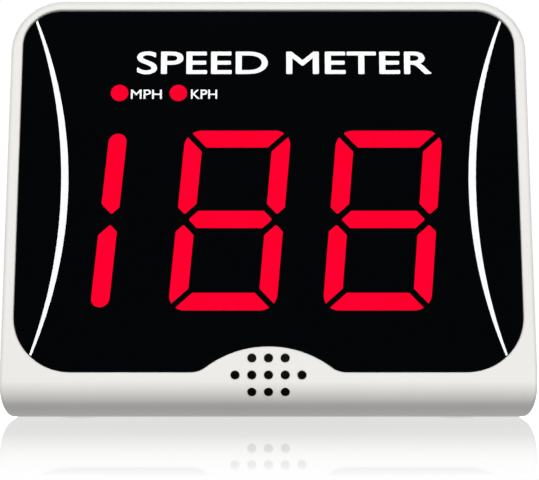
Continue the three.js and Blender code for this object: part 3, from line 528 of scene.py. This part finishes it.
def lit_material(name, strength):
    """The lit diffuser: even red with slightly brighter light where each chip sits behind it."""
    s = Shader(name, (0.1, 0.0, 0.002), 0.5)
    s.set("Specular IOR Level", 0.0)
    chips = s.noise(150, 1)
    grain = s.noise(900, 2)
    glow = s.math("MULTIPLY", s.ranged(chips, 0.95, 1.03, 0.3, 0.7), s.ranged(grain, 0.985, 1.015, 0.3, 0.7))
    s.link("Roughness", s.ranged(grain, 0.4, 0.6))
    s.link("Emission Strength", s.math("MULTIPLY", glow, strength))
    s.link("Emission Color", s.mix(s.ranged(chips, 0, 1, 0.3, 0.7), (0.97, 0.0, 0.024), (1.0, 0.0, 0.028)))
    s.bump(grain, 0.00003, 0.2)
    return s.material


def print_material():
    """Silk-screened white ink."""
    s = Shader("printed_white", (0.95, 0.95, 0.96), 0.5)
    s.link("Roughness", s.ranged(s.noise(1500, 2), 0.4, 0.6))
    cover = s.ranged(s.noise(500, 3), 0, 1, 0.35, 0.65)
    s.link("Base Color", s.mix(cover, (0.92, 0.925, 0.94), (0.97, 0.975, 0.98)))
    s.bump(s.noise(2200, 2), 0.00002, 0.2)
    return s.material


def rubber_material(name, color, roughness):
    """Matt moulded rubber or foam, slightly cloudy."""
    s = Shader(name, color, roughness)
    dark = tuple(c * 0.82 for c in color)
    s.link("Base Color", s.mix(s.ranged(s.noise(120, 4), 0, 1, 0.3, 0.7), dark, color))
    s.link("Roughness", s.ranged(s.noise(700, 3), roughness - 0.08, roughness + 0.08))
    s.bump(s.noise(2600, 2), 0.00005, 0.4)
    return s.material


def plastic_material(name, color, roughness):
    """Moulded plastic with a fine grain."""
    s = Shader(name, color, roughness)
    darker = tuple(c * 0.9 for c in color)
    s.link("Base Color", s.mix(s.ranged(s.noise(80, 3), 0, 1, 0.3, 0.7), darker, color))
    s.link("Roughness", s.ranged(s.noise(400, 3), roughness - 0.07, roughness + 0.07))
    s.bump(s.noise(2500, 2), 0.00004, 0.3)
    return s.material


def metal_material(name, color, roughness, stretch=None):
    """Bare metal, with marks drawn out along one axis where a stretch is given."""
    s = Shader(name, color, roughness, metallic=1.0)
    brushed = s.noise(900, 4, stretch)
    s.link("Roughness", s.ranged(brushed, roughness - 0.08, roughness + 0.14, 0.3, 0.7))
    dull = tuple(c * 0.86 for c in color)
    s.link("Base Color", s.mix(s.ranged(s.noise(60, 3), 0, 1, 0.3, 0.7), dull, color))
    s.bump(brushed, 0.00003, 0.35)
    return s.material


def board_material():
    """Solder mask over copper: faint traces show through the green, with tinned pads here and there."""
    s = Shader("circuit_board", (0.012, 0.085, 0.03), 0.3)
    cells = s.node("ShaderNodeTexVoronoi", Vector=s.position, Scale=230.0)
    cells.feature, cells.distance = "DISTANCE_TO_EDGE", "MANHATTAN"
    traces = s.ranged(cells.outputs["Distance"], 1, 0, 0.03, 0.06)
    pads = s.node("ShaderNodeTexVoronoi", Vector=s.position, Scale=420.0)
    dots = s.ranged(pads.outputs["Distance"], 1, 0, 0.16, 0.2)
    green = s.mix(traces, (0.01, 0.075, 0.026), (0.03, 0.15, 0.05))
    s.link("Base Color", s.mix(s.math("MULTIPLY", dots, 0.55), green, (0.6, 0.6, 0.58)))
    s.link("Roughness", s.ranged(s.noise(300, 2), 0.25, 0.4))
    s.bump(s.math("ADD", traces, dots), 0.00004, 0.5)
    return s.material


def cell_material(band_edge, toward):
    """Printed foil label: a dark barrel, with a copper-coloured band from one place along X to the button."""
    s = Shader("cell_label", (0.05, 0.09, 0.14), 0.3, metallic=0.75)
    x = s.node("ShaderNodeSeparateXYZ", Vector=s.position).outputs[0]
    band = s.ranged(s.math("MULTIPLY", s.math("SUBTRACT", x, band_edge), toward), 0, 1, -0.0001, 0.0001)
    fine = s.noise(900, 3)
    s.link("Base Color", s.mix(band, (0.02, 0.03, 0.045), (0.72, 0.33, 0.12)))
    s.link("Roughness", s.ranged(fine, 0.24, 0.36))
    s.bump(s.noise(160, 2), 0.00005, 0.2)
    return s.material


CASING, LENS, INK = casing_material(), lens_material(), print_material()
LIT, LAMP = lit_material("led_red", 1.0), lit_material("lamp_red", 0.97)
BUTTON = rubber_material("button_grey", (0.24, 0.25, 0.26), 0.55)
FOOT = rubber_material("foot_rubber", (0.62, 0.615, 0.6), 0.6)
FOAM = rubber_material("foam", (0.02, 0.02, 0.02), 0.9)
BLACK = plastic_material("inner_black", (0.012, 0.012, 0.013), 0.55)
CHIP = plastic_material("chip", (0.01, 0.01, 0.011), 0.42)
NYLON = plastic_material("connector", (0.7, 0.67, 0.58), 0.45)
CONE = rubber_material("cone", (0.015, 0.015, 0.016), 0.85)
STEEL = metal_material("steel", (0.62, 0.63, 0.65), 0.28, (1, 6, 1))
MAGNET = metal_material("magnet", (0.42, 0.43, 0.45), 0.4)
BRASS = metal_material("brass", (0.66, 0.46, 0.18), 0.25, (1, 1, 8))
BOARD = board_material()
WIRES = {
    "wire_red": plastic_material("wire_red", (0.45, 0.01, 0.01), 0.4),
    "wire_black": plastic_material("wire_black", (0.01, 0.01, 0.01), 0.4),
    "wire_grey": plastic_material("wire_grey", (0.32, 0.33, 0.35), 0.4),
}


def shade_scrim_material():
    """Black woven scrim behind the grille, made near-black as painted shade so that the holes show dark."""
    s = Shader("grille_shade_scrim", (0.006, 0.006, 0.007), 0.9)
    weave = s.node("ShaderNodeTexChecker", Vector=s.position, Scale=3600.0).outputs["Fac"]
    s.link("Base Color", s.mix(weave, (0.003, 0.003, 0.003), (0.012, 0.012, 0.013)))
    s.bump(weave, 0.00005, 0.6)
    return s.material


# ---- front shell
def grille_tools():
    """One tool for each hole of the grille, its mouth flared and leaning with the chin's surface."""
    depth_and_flare = ((8.0, 0.0), (0.28, 0.0), (0.14, 0.03), (0.04, 0.12), (-0.05, 0.25), (-3.0, 0.26))
    tools = []
    for row, count in enumerate(HOLE_ROWS):
        z = GRILLE_Z + (1 - row) * HOLE_PITCH
        y = front_y(z)
        if z > BASE_Z + CHIN_R + CHIN_R * math.sin(FACE_TILT):
            slope = FACE_TILT
        else:
            slope = math.asin((z - BASE_Z - CHIN_R) / CHIN_R)
        for i in range(count):
            x = (i - (count - 1) / 2) * HOLE_PITCH
            rings = []
            for depth, flare in depth_and_flare:
                lean = math.tan(slope) if depth < depth_and_flare[0][0] else 0
                ring = circle(0, 0, HOLE_R + flare, 32)
                rings.append([(x + dx, y + depth + lean * dz, z + dz) for dx, dz in ring])
            tools.append(mesh_of("hole", rings))
    return tools


def along_y(z):
    """Local Z along Y, at a height, for what is turned about the loudspeaker's axis."""
    return Matrix.Translation((0, 0, z)) @ Matrix.Rotation(math.radians(-90), 4, "X")


def front_housing():
    """The leaning face and the chin: a hollow shell with the lens ledge, loudspeaker collar and grille."""
    shell = boolean(body_mesh(0), "DIFFERENCE", coarse(WALL))
    shell = boolean(shell, "INTERSECT", seam_slab(0, REACH))
    ledge = prism(lens_outline(-1.8), LEDGE_BACK, -1.2, FACE)
    collar = lathe([(COLLAR_R, FRONT_Y), (COLLAR_R, SPEAKER_SEAT_Y + COLLAR_DEPTH)], 64, along_y(SPEAKER_Z))
    for inner in (ledge, collar):
        shell = boolean(shell, "UNION", boolean(inner, "INTERSECT", coarse(WALL - BITE)))
    tools = [
        rimmed(lambda grow: lens_outline(-grow), LEDGE_FRONT, 0, FACE, 0.5),
        prism(lens_outline(LEDGE_WIDTH), LEDGE_BACK - 1, 20, FACE),
        seam_groove(-2, SEAM_GROOVE),
    ]
    for r, start in ((SOUND_WELL_R, SPEAKER_SEAT_Y - 3), (SPEAKER_SEAT_R, SPEAKER_SEAT_Y)):
        tools.append(lathe([(r, start), (r, 0)], 64, along_y(SPEAKER_Z)))
    tools += [foot_recess(*foot) for foot in FEET[:2]]
    return boolean(shell, "DIFFERENCE", *tools, *grille_tools())


def grille_shade_scrim():
    """A dark cloth behind the grille, put there as painted shade for the holes: a thin rounded rectangle
    between the wall and the loudspeaker.
    """
    width, height, r, y, thickness, z = 23.4, 13.2, 2.0, -31.0, 0.2, 13.2
    return prism(rounded_rect(0, -z, width, height, r), y, y + thickness, along_y(0))


# painted shade: a near-black sheet behind the grille holes, so that they show dark
piece("grille_shade_scrim", grille_shade_scrim(), shade_scrim_material(), "housing", weighted=False)
piece("front_casing", front_housing(), CASING, "housing", ["front_housing"], flat=True)


# ---- rear shell
def along_x(a, u, n, way=1):
    """Local Z along the back frame's X, for turned pieces."""
    return BACK @ Matrix.Translation((a, u, n)) @ Matrix.Rotation(math.radians(90) * way, 4, "Y")


def pin_place(side):
    return along_x(side * DOOR_HALF, DOOR_LOW + DOOR_THICK / 2, -DOOR_THICK / 2, side)


def rect(x, y, w, h, r, steps=8):
    """The outline, by how much it grows, of a rounded rectangle."""
    return lambda grow: rounded_rect(x, y, w + 2 * grow, h + 2 * grow, max(0.05, r + grow), steps)


def button_outline(a, half, r):
    """The same for a button, whose ends are half round."""
    nearly = 0.001  # keeps a short straight side between the two quarter rounds of each end
    width = 2 * (half + r)
    return lambda grow: rounded_rect(a, CONTROL_U, width + 2 * grow, 2 * (r + grow), r + grow - nearly, 16)


def rear_bulk():
    """What stands inside the back before it is cut: the bay's box and the bosses of screws and insert."""
    bay = box(*BAY_SHELL, BACK)
    bosses = [prism(circle(x, v_of(z), SCREW_BOSS_R), -60, -GAP, SEAM) for x, z in SCREWS]
    bay, *bosses = (boolean(me, "INTERSECT", coarse(WALL - BITE)) for me in (bay, *bosses))
    return [bay, prism(circle(0, NUT_Y, NUT_BOSS_R), BASE_Z + 0.2, 13), *bosses]


def rear_openings():
    """Every cut through or into the back."""
    door_w, door_h = 2 * (DOOR_HALF + GAP), DOOR_HIGH - DOOR_LOW + 2 * GAP
    usb_w, usb_h = 2 * USB_HALF + 0.5, 2 * USB_HALF_H + 0.5
    tools = [
        seam_groove(-GAP - SEAM_GROOVE, 2),
        box(-BAY_HALF, BAY_HALF, BAY_LOW, BAY_HIGH, BAY_FLOOR, 5, BACK),
        rimmed(rect(0, (DOOR_LOW + DOOR_HIGH) / 2, door_w, door_h, 0.8), -DOOR_THICK - GAP, 0, BACK, 0.25),
        rimmed(rect(0, CONTROL_U, PANEL_W, PANEL_H, PANEL_R, 14), -RECESS, 0, BACK, 0.25),
        rimmed(rect(USB_A, USB_U, 14, 8, 3.9, 14), -RECESS, 0, BACK, 0.25),
        rimmed(rect(USB_A, USB_U, usb_w, usb_h, 1.8, 10), -8, -RECESS, BACK, 0.2),
        prism(circle(0, NUT_Y, NUT_R + 0.05, 64), -1, NUT_TOP + GAP),
    ]
    for _, a, half, r in BUTTONS:
        tools.append(rimmed(button_outline(a, half, r + BUTTON_GAP), -8, -RECESS, BACK, 0.2))
    tools += [prism(circle(x, v_of(z), WELL_R), -REACH, -WELL_DEPTH, SEAM) for x, z in SCREWS]
    tools += [foot_recess(*foot) for foot in FEET[2:]]
    hole = [(PIN_R + GAP, -3.0), (PIN_R + GAP, PIN_REACH + GAP)]
    return tools + [lathe(hole, 24, pin_place(side)) for side in (-1, 1)]


def cradle(a):
    """A rib across the battery bay, hollowed for both rows of cells."""
    ends = (a - CRADLE_HALF, a + CRADLE_HALF, BAY_LOW - BITE, BAY_HIGH + BITE, BAY_FLOOR - BITE, CELL_M - 3)
    cells = [lathe([(CELL_R + GAP, -100), (CELL_R + GAP, 100)], 64, along_x(0, u, CELL_M)) for u in CELL_ROWS]
    return boolean(box(*ends, BACK), "DIFFERENCE", *cells)


def rear_housing():
    """The back and the base: a hollow shell with the battery bay, openings, wells and bosses."""
    shell = boolean(body_mesh(0), "DIFFERENCE", coarse(WALL))
    shell = boolean(shell, "INTERSECT", seam_slab(-REACH, -GAP))
    shell = boolean(shell, "UNION", *rear_bulk())
    shell = boolean(shell, "DIFFERENCE", *rear_openings())
    return boolean(shell, "UNION", *map(cradle, CRADLES))


piece("rear_casing", rear_housing(), CASING, "housing", ["rear_housing"], flat=True)


# ---- lens, digits and print
def display_lens():
    """The black plate, with a window for each bar of the digits and for each lamp."""
    slack = 0.02
    plate = pillow(lambda grow: lens_outline(LENS_GAP - grow), LENS_BACK, LENS_FRONT, FACE, LENS_GAP, 3)
    bars = [bar for _, x, one in DIGITS for bar in segments(x, one, slack)]
    windows = [soften(bar, SEGMENT_SOFTNESS) for bar in bars]
    windows += [circle(x, LAMP_V, LAMP_R + slack, 64) for _, x in LAMPS]
    return boolean(plate, "DIFFERENCE", joined([prism(window, -20, 5, FACE) for window in windows]))


def digit_light(x, one):
    """The bars of a digit standing on the web that joins them at the back."""
    half, half_height, sunk = (12.0 if one else 22.5), 31.6, 0.005
    low, high = DIGIT_V - half_height, DIGIT_V + half_height
    web = box(x - half, x + half, low, high, DIFFUSER_BACK, DIFFUSER_BACK + DIFFUSER_WEB, FACE)
    bars = [soften(bar, SEGMENT_SOFTNESS) for bar in segments(x, one, 0.0)]
    return boolean(web, "UNION", *[prism(bar, DIFFUSER_BACK + 0.5, LENS_FRONT - sunk, FACE) for bar in bars])


def lamp_light(x):
    """A flanged rod with a slightly domed end."""
    flange, dome = 0.5, 0.1
    shoulder, start = DIFFUSER_BACK + DIFFUSER_WEB, LENS_FRONT - dome
    profile = [(LAMP_R + flange, DIFFUSER_BACK), (LAMP_R + flange, shoulder)]
    profile += [(LAMP_R, shoulder), (LAMP_R, start)]
    profile += [(LAMP_R * math.cos(a), start + dome * math.sin(a)) for a in (0.4, 0.8, 1.2, 1.45)]
    return lathe(profile, 64, FACE @ Matrix.Translation((x, LAMP_V, 0)))


piece("display_lens_fine", display_lens(), LENS, "housing", ["display_lens"])
for name, x, one in DIGITS:
    piece(name + "_light", digit_light(x, one), LIT, "housing", [name + "_diffuser"])
for name, x in LAMPS:
    piece(name + "_light", lamp_light(x), LAMP, "housing", [name])


def stroke(side):
    """One of the two long bowed strokes printed at the ends of the lens, swelling in the middle."""
    apex_x, apex_v, r = 62.25, 72.6, 158.0
    low, high, steps = -20.4, 22.0, 90
    end_half, swell = 0.28, 0.82
    inner, outer = [], []
    for i in range(steps + 1):
        a = math.radians(low + (high - low) * i / steps)
        half = end_half + swell * math.sin(math.pi * i / steps)
        for edge, offset in ((inner, -half), (outer, half)):
            edge.append(((r + offset) * math.cos(a) - apex_x - r, apex_v + (r + offset) * math.sin(a)))
    points = [(x * side, v) for x, v in outer + inner[::-1]]
    strip = prism(points, LENS_FRONT - 0.01, LENS_FRONT + 0.02, FACE)
    return boolean(strip, "INTERSECT", prism(lens_outline(0.35), -10, 10, FACE))


piece("lens_stroke_left", stroke(1), INK, "housing", weighted=False)
piece("lens_stroke_right", stroke(-1), INK, "housing", weighted=False)


def lettering(name, text, x0, x1, v0, v1, bold):
    """Plain sans-serif words fitted to a box on the lens, thickened by eight slightly shifted passes."""
    curve = bpy.data.curves.new(name, "FONT")
    curve.body, curve.resolution_u, curve.extrude = text, 6, 0.5
    obj = bpy.data.objects.new(name, curve)
    scene.collection.objects.link(obj)
    bpy.context.view_layer.update()
    me = bpy.data.meshes.new_from_object(obj.evaluated_get(bpy.context.evaluated_depsgraph_get()))
    bpy.data.objects.remove(obj)
    xs, ys = ([v.co[i] for v in me.vertices] for i in range(2))
    x0, x1, v0, v1 = x0 + bold, x1 - bold, v0 + bold, v1 - bold
    passes = []
    for k in range(8):
        shifted = me.copy()
        angle = math.pi / 4 * k
        for v in shifted.vertices:
            x = x0 + (v.co.x - min(xs)) / (max(xs) - min(xs)) * (x1 - x0) + bold * math.cos(angle)
            y = v0 + (v.co.y - min(ys)) / (max(ys) - min(ys)) * (v1 - v0) + bold * math.sin(angle)
            z = LENS_FRONT - 0.01 if v.co.z < 0 else LENS_FRONT + 0.012 + 0.002 * k
            v.co = FACE @ Vector((x, y, z)) * MM
        passes.append(outward(shifted))
    piece(name, joined(passes), INK, "housing", weighted=False)


lettering("title_print", "SPEED METER", -40.9, 50.6, 110.6, 118.3, 0.2)
lettering("unit_print_left", "MPH", -42.6, -33.0, 102.4, 105.5, 0.05)
lettering("unit_print_right", "KPH", -24.0, -15.9, 102.4, 105.5, 0.05)


# ---- buttons, door and latch
def button(name, a, half, r):
    """A flanged cap with a rounded rim and a shallow finger dish."""
    edge_r, dish, steps = 0.6, 0.35, 6
    levels = [(FLANGE, -3.7), (FLANGE, -2.8), (0, -2.7)]
    for k in range(steps + 1):
        t = math.pi / 2 * k / steps
        levels.append((-edge_r * (1 - math.cos(t)), BUTTON_TOP - edge_r + edge_r * math.sin(t)))
    for k in range(1, steps + 1):
        dip = dish * (1 - math.cos(math.pi * k / steps)) / 2
        levels.append((-edge_r - (r - 1.0) * k / steps, BUTTON_TOP - dip))
    outline = button_outline(a, half, r)
    return mesh_of(name, [[(x, y, z) for x, y in outline(grow)] for grow, z in levels], BACK)


def symbol(kind, a):
    """The outlines of a generic mark above a button: a ring with a stroke, two arrows, or a loudspeaker."""
    if kind == "power":
        start, end = math.radians(125), math.radians(415)
        ring = arc(a, 99.3, 1.45, start, end, 30) + arc(a, 99.3, 1.1, end, start, 30)
        bar = [(a - 0.18, 99.4), (a + 0.18, 99.4), (a + 0.18, 101.1), (a - 0.18, 101.1)]
        return [ring, bar]
    if kind == "unit":
        up = [(a - 2.6, 98.0), (a - 1.0, 98.0), (a - 1.8, 99.6)]
        down = [(a + 1.0, 99.4), (a + 2.6, 99.4), (a + 1.8, 97.8)]
        return [up, down]
    horn = [(-2.0, 98.1), (-1.2, 98.1), (-0.2, 97.3), (-0.2, 100.1), (-1.2, 99.3), (-2.0, 99.3)]
    waves = []
    for r in (1.0, 1.8):
        waves.append(arc(a, 98.7, r + 0.15, -0.8, 0.8, 12) + arc(a, 98.7, r - 0.15, 0.8, -0.8, 12))
    return [[(a + x, y) for x, y in horn]] + waves


for name, a, half, r in BUTTONS:
    piece(name + "_cap", button(name, a, half, r), BUTTON, name + "_button", [name + "_button"])
    marks = [prism(outline, -RECESS - 0.01, -RECESS + 0.015, BACK) for outline in symbol(name, a)]
    piece(name + "_mark", joined(marks), WIRES["wire_grey"], "housing", weighted=False)


def door():
    """The battery door: a panel with a half-round lower edge, end pins, grip ribs and a notch."""
    axis, t, r, near_end = DOOR_LOW + DOOR_THICK / 2, DOOR_THICK, 0.25, 0.07
    profile = [(DOOR_HIGH - r, 0.0)] + arc(axis, -t / 2, t / 2, math.pi / 2, 1.5 * math.pi, 16)
    profile += [(DOOR_HIGH, -t)] + arc(DOOR_HIGH - r, -r, r, 0, math.pi / 2, 4)[:-1]
    rings = []
    for x, drop in ((DOOR_HALF, r), (DOOR_HALF - near_end, 0.09), (DOOR_HALF - r, 0.0)):
        rings.append([(-x, y, min(z, -drop) if z > -t / 2 else z) for y, z in clean(profile)])
    rings += [[(-x, y, z) for x, y, z in ring] for ring in rings[::-1]]
    notch_half = LATCH_HALF + LATCH_SIDE_GAP
    notch = box(-notch_half, notch_half, LATCH_ROOT - GAP, DOOR_HIGH + 5, -5, 5, BACK)
    panel = boolean(mesh_of("door", rings, BACK), "DIFFERENCE", notch)
    pins = [lathe([(PIN_R, -PIN_REACH), (PIN_R, PIN_REACH)], 24, pin_place(side)) for side in (-1, 1)]
    ribs = [rounded_rect(0, LATCH_ROOT - 6.2 - 1.5 * k, 15, 0.7, 0.34, 5) for k in range(4)]
    return boolean(panel, "UNION", *pins, *[prism(rib, -0.3, 0.25, BACK) for rib in ribs])


def latch():
    """The snap tab in the door's notch, with its hook and three thumb ridges."""
    tip = DOOR_HIGH - 0.2
    plan = rect(0, (LATCH_ROOT + tip) / 2, 2 * LATCH_HALF, tip - LATCH_ROOT, 0.5, 5)
    hook = box(-LATCH_HALF + 2, LATCH_HALF - 2, BAY_HIGH - 1.6, BAY_HIGH - GAP, -3.4, -1, BACK)
    ridges = [pillow(rect(0, tip - 1.9 - 1.5 * k, 11, 0.8, 0.38, 5), -0.5, 0.42, BACK, 0.3) for k in range(3)]
    return boolean(pillow(plan, -LATCH_THICK, 0, BACK, 0.2), "UNION", hook, *ridges)


piece("battery_door_fine", door(), CASING, "battery_door", ["battery_door"], flat=True)
piece("door_latch_fine", latch(), CASING, "door_latch", ["door_latch"], flat=True)


# ---- feet, insert, screws, cells
def foot(x, y):
    """A moulded bumper with a rounded lower edge."""
    profile = [(FOOT_R - 0.5, 0.0), (FOOT_R - 0.15, 0.12), (FOOT_R, 0.45), (FOOT_R, FOOT_H)]
    return lathe(profile, 64, Matrix.Translation((x, y, 0)))


def tripod_insert():
    """A bush with a chamfered mouth and a thread of V grooves."""
    bottom, bore_r, root_r, mouth_r, pitch, turns = 0.8, 3.2, 3.42, 3.6, 0.65, 14
    profile = [(mouth_r, bottom), (NUT_R - 0.2, bottom), (NUT_R, bottom + 0.2)]
    profile += [(NUT_R, NUT_TOP), (bore_r, NUT_TOP)]
    for k in range(turns):
        z = NUT_TOP - GAP - k * pitch
        profile += [(bore_r, z), (root_r, z - 0.32)]
    rings = [[(x, y, z) for x, y in circle(0, 0, r, 64)] for r, z in profile]
    return mesh_of("insert", rings + rings[:1], Matrix.Translation((0, NUT_Y, 0)), caps=False)


def case_screw(x, z, turn):
    """A pan-head screw with a cross recess, seen at the bottom of its well."""
    place = SEAM @ Matrix.Translation((x, v_of(z), 0)) @ Matrix.Rotation(math.pi, 4, "X")
    profile = [(1.5, -4.7), (1.5, 8.1), (2.8, 8.1), (2.8, 9.4), (2.75, 9.8), (2.4, 10.1)]
    arms = [(1.6, 0.34), (0.34, 1.6)]
    cuts = [box(-w, w, -h, h, 9.0, 12, place @ Matrix.Rotation(turn, 4, "Z")) for w, h in arms]
    return boolean(lathe(profile, 48, place), "DIFFERENCE", *cuts)


def cell(place):
    """An AA cell: crimped ends, and the raised button."""
    body = CELL_LENGTH - 1
    profile = [(CELL_R - 0.9, 0.25), (CELL_R - 0.7, 0.0), (CELL_R - 0.2, 0.0), (CELL_R, 0.25)]
    profile += [(CELL_R, body - 0.3), (CELL_R - 0.3, body), (CELL_R - 0.9, body), (CELL_R - 1.1, body - 0.25)]
    profile += [(2.9, body - 0.25), (2.75, body + 0.1), (2.75, CELL_LENGTH - 0.2), (2.5, CELL_LENGTH)]
    return lathe(profile, 64, place)


for i, (x, y) in enumerate(FEET, 1):
    piece(f"foot_{i}_fine", foot(x, y), FOOT, "housing", [f"foot_{i}"])
piece("tripod_insert", tripod_insert(), BRASS, "housing", ["tripod_nut"])
for i, (x, z) in enumerate(SCREWS, 1):
    piece(f"case_screw_{i}_fine", case_screw(x, z, 0.3 * i), STEEL, "housing", [f"case_screw_{i}"])

for row, u in enumerate(CELL_ROWS):
    way = 1 if row == 0 else -1
    for k in range(2):
        name = f"battery_{2 * row + k + 1}"
        start = way * (k * (CELL_LENGTH + GAP) - (BAY_HALF - 8.5))
        band_edge = (BACK @ Vector((start + way * 38.5, u, CELL_M))).x * MM
        me = cell(along_x(start, u, CELL_M, way))
        piece(name + "_label", me, cell_material(band_edge, -way), "housing", [name])


# ---- pieces kept from the CAD model
SLOT_MATERIAL = {
    "foam": FOAM, "inner_black": BLACK, "circuit_board": BOARD,
    "connector": NYLON, "chip": CHIP, "steel": STEEL,
    "magnet": MAGNET, "cone": CONE, "brass": BRASS, **WIRES,
}
for sub in frame["record"]["subparts"]:
    node = NODES[sub["node"]]
    material = SLOT_MATERIAL.get(sub.get("material_slot"))
    if material is None or node.hide_render:
        continue
    node.data.materials.clear()
    node.data.materials.append(material)
    node.data.shade_smooth()
    node.data.set_sharp_from_angle(angle=math.radians(35))


# ---- floor, light and camera
def floor_material():
    """White light table, polished enough to mirror the case faintly, less so further away from it."""
    s = Shader("floor_white", (0, 0, 0), 1.0)
    s.set("Specular IOR Level", 0.0).set("Emission Color", (1, 1, 1, 1)).set("Emission Strength", 1.0)
    near, far, most = 0.022, 0.2, 0.46
    flattened = s.node("ShaderNodeMapping", Vector=s.position, Scale=(0.5, 1, 0)).outputs[0]
    away = s.node("ShaderNodeVectorMath", Vector=flattened)
    away.operation = "LENGTH"
    share = s.math("POWER", s.ranged(away.outputs["Value"], 1, 0, near, far), 0.6)
    mirror = s.node("ShaderNodeBsdfAnisotropic", Color=(1, 1, 1, 1), Roughness=0.03)
    mixed = s.node("ShaderNodeMixShader")
    s.tree.links.new(s.math("MULTIPLY", share, most), mixed.inputs[0])
    s.tree.links.new(s.bsdf.outputs[0], mixed.inputs[1])
    s.tree.links.new(mirror.outputs[0], mixed.inputs[2])
    s.tree.links.new(mixed.outputs[0], s.tree.nodes["Material Output"].inputs["Surface"])
    return s.material


floor_mesh = bpy.data.meshes.new("floor")
floor_mesh.from_pydata([(-8, -8, 0), (8, -8, 0), (8, 8, 0), (-8, 8, 0)], [], [(0, 1, 2, 3)])
floor = bpy.data.objects.new("floor", floor_mesh)
floor_mesh.materials.append(floor_material())
scene.collection.objects.link(floor)
floor.visible_diffuse = floor.visible_glossy = False  # the studio's own low light stands for its bounce


def studio_world():
    """White to the eye; as a light, dim where the lens mirrors it, brighter below and low down behind."""
    world = bpy.data.worlds.new("studio")
    world.use_nodes = True
    tree = world.node_tree

    def node(kind, *inputs):
        made = tree.nodes.new(kind)
        for i, value in enumerate(inputs):
            if isinstance(value, bpy.types.NodeSocket):
                tree.links.new(value, made.inputs[i])
            else:
                made.inputs[i].default_value = value
        return made

    def ramp(value, *stops):
        made = node("ShaderNodeValToRGB", value)
        for i, (at, shade) in enumerate(stops):
            stop = made.color_ramp.elements[i] if i < 2 else made.color_ramp.elements.new(at)
            stop.position, stop.color = at, (shade, shade, shade, 1)
        return made.outputs[0]

    def math_node(operation, *values):
        made = node("ShaderNodeMath", *values)
        made.operation = operation
        return made.outputs[0]

    split = node("ShaderNodeSeparateXYZ", node("ShaderNodeTexCoord").outputs["Generated"])
    height = math_node("MULTIPLY_ADD", split.outputs["Z"], 0.5, 0.5)
    behind = node("ShaderNodeMapRange", split.outputs["Y"], -0.3, 0.2, 0.0, 1.0).outputs[0]
    below = ((0.0, 0.47), (0.3, 0.52), (0.47, 0.46))
    above = ((0.53, 0.03), (0.88, 0.015), (0.95, 0.1), (1.0, 0.16))
    all_round = ramp(height, *below, *above)
    low_behind = ramp(height, (0.0, 0.0), (0.46, 0.2), (0.5, 0.95), (0.62, 0.95), (0.75, 0.15), (1.0, 0.0))
    strength = math_node("MULTIPLY_ADD", behind, low_behind, all_round)
    light = node("ShaderNodeBackground", (1, 1, 1, 1), strength)
    white = node("ShaderNodeBackground", (1, 1, 1, 1), 1.02)
    seen = node("ShaderNodeLightPath").outputs["Is Camera Ray"]
    mixed = node("ShaderNodeMixShader", seen, light.outputs[0], white.outputs[0])
    tree.links.new(mixed.outputs[0], tree.nodes["World Output"].inputs["Surface"])
    scene.world = world


def sun(name, energy, spread, elevation, from_behind=False):
    """A soft sun in the YZ plane, in front of the case or behind it."""
    data = bpy.data.lights.new(name, "SUN")
    data.energy, data.angle = energy, math.radians(spread)
    obj = bpy.data.objects.new(name, data)
    obj.rotation_euler = (math.radians(elevation - 90 if from_behind else 90 - elevation), 0, 0)
    scene.collection.objects.link(obj)


studio_world()
sun("key", 3.2, 20, 57)
sun("fill", 1.1, 40, 22, from_behind=True)

camera_data = bpy.data.cameras.new("camera")
camera_data.sensor_width, camera_data.lens = 36.0, 155.4772
camera_data.shift_x = 0.001855
camera_data.clip_end = 50
camera = bpy.data.objects.new("camera", camera_data)
camera.location = (0, -0.727, 0.05354)
camera.rotation_euler = (math.pi / 2, 0, 0)
scene.collection.objects.link(camera)
scene.camera = camera
scene.view_settings.view_transform = "Standard"
scene.view_settings.look = "None"
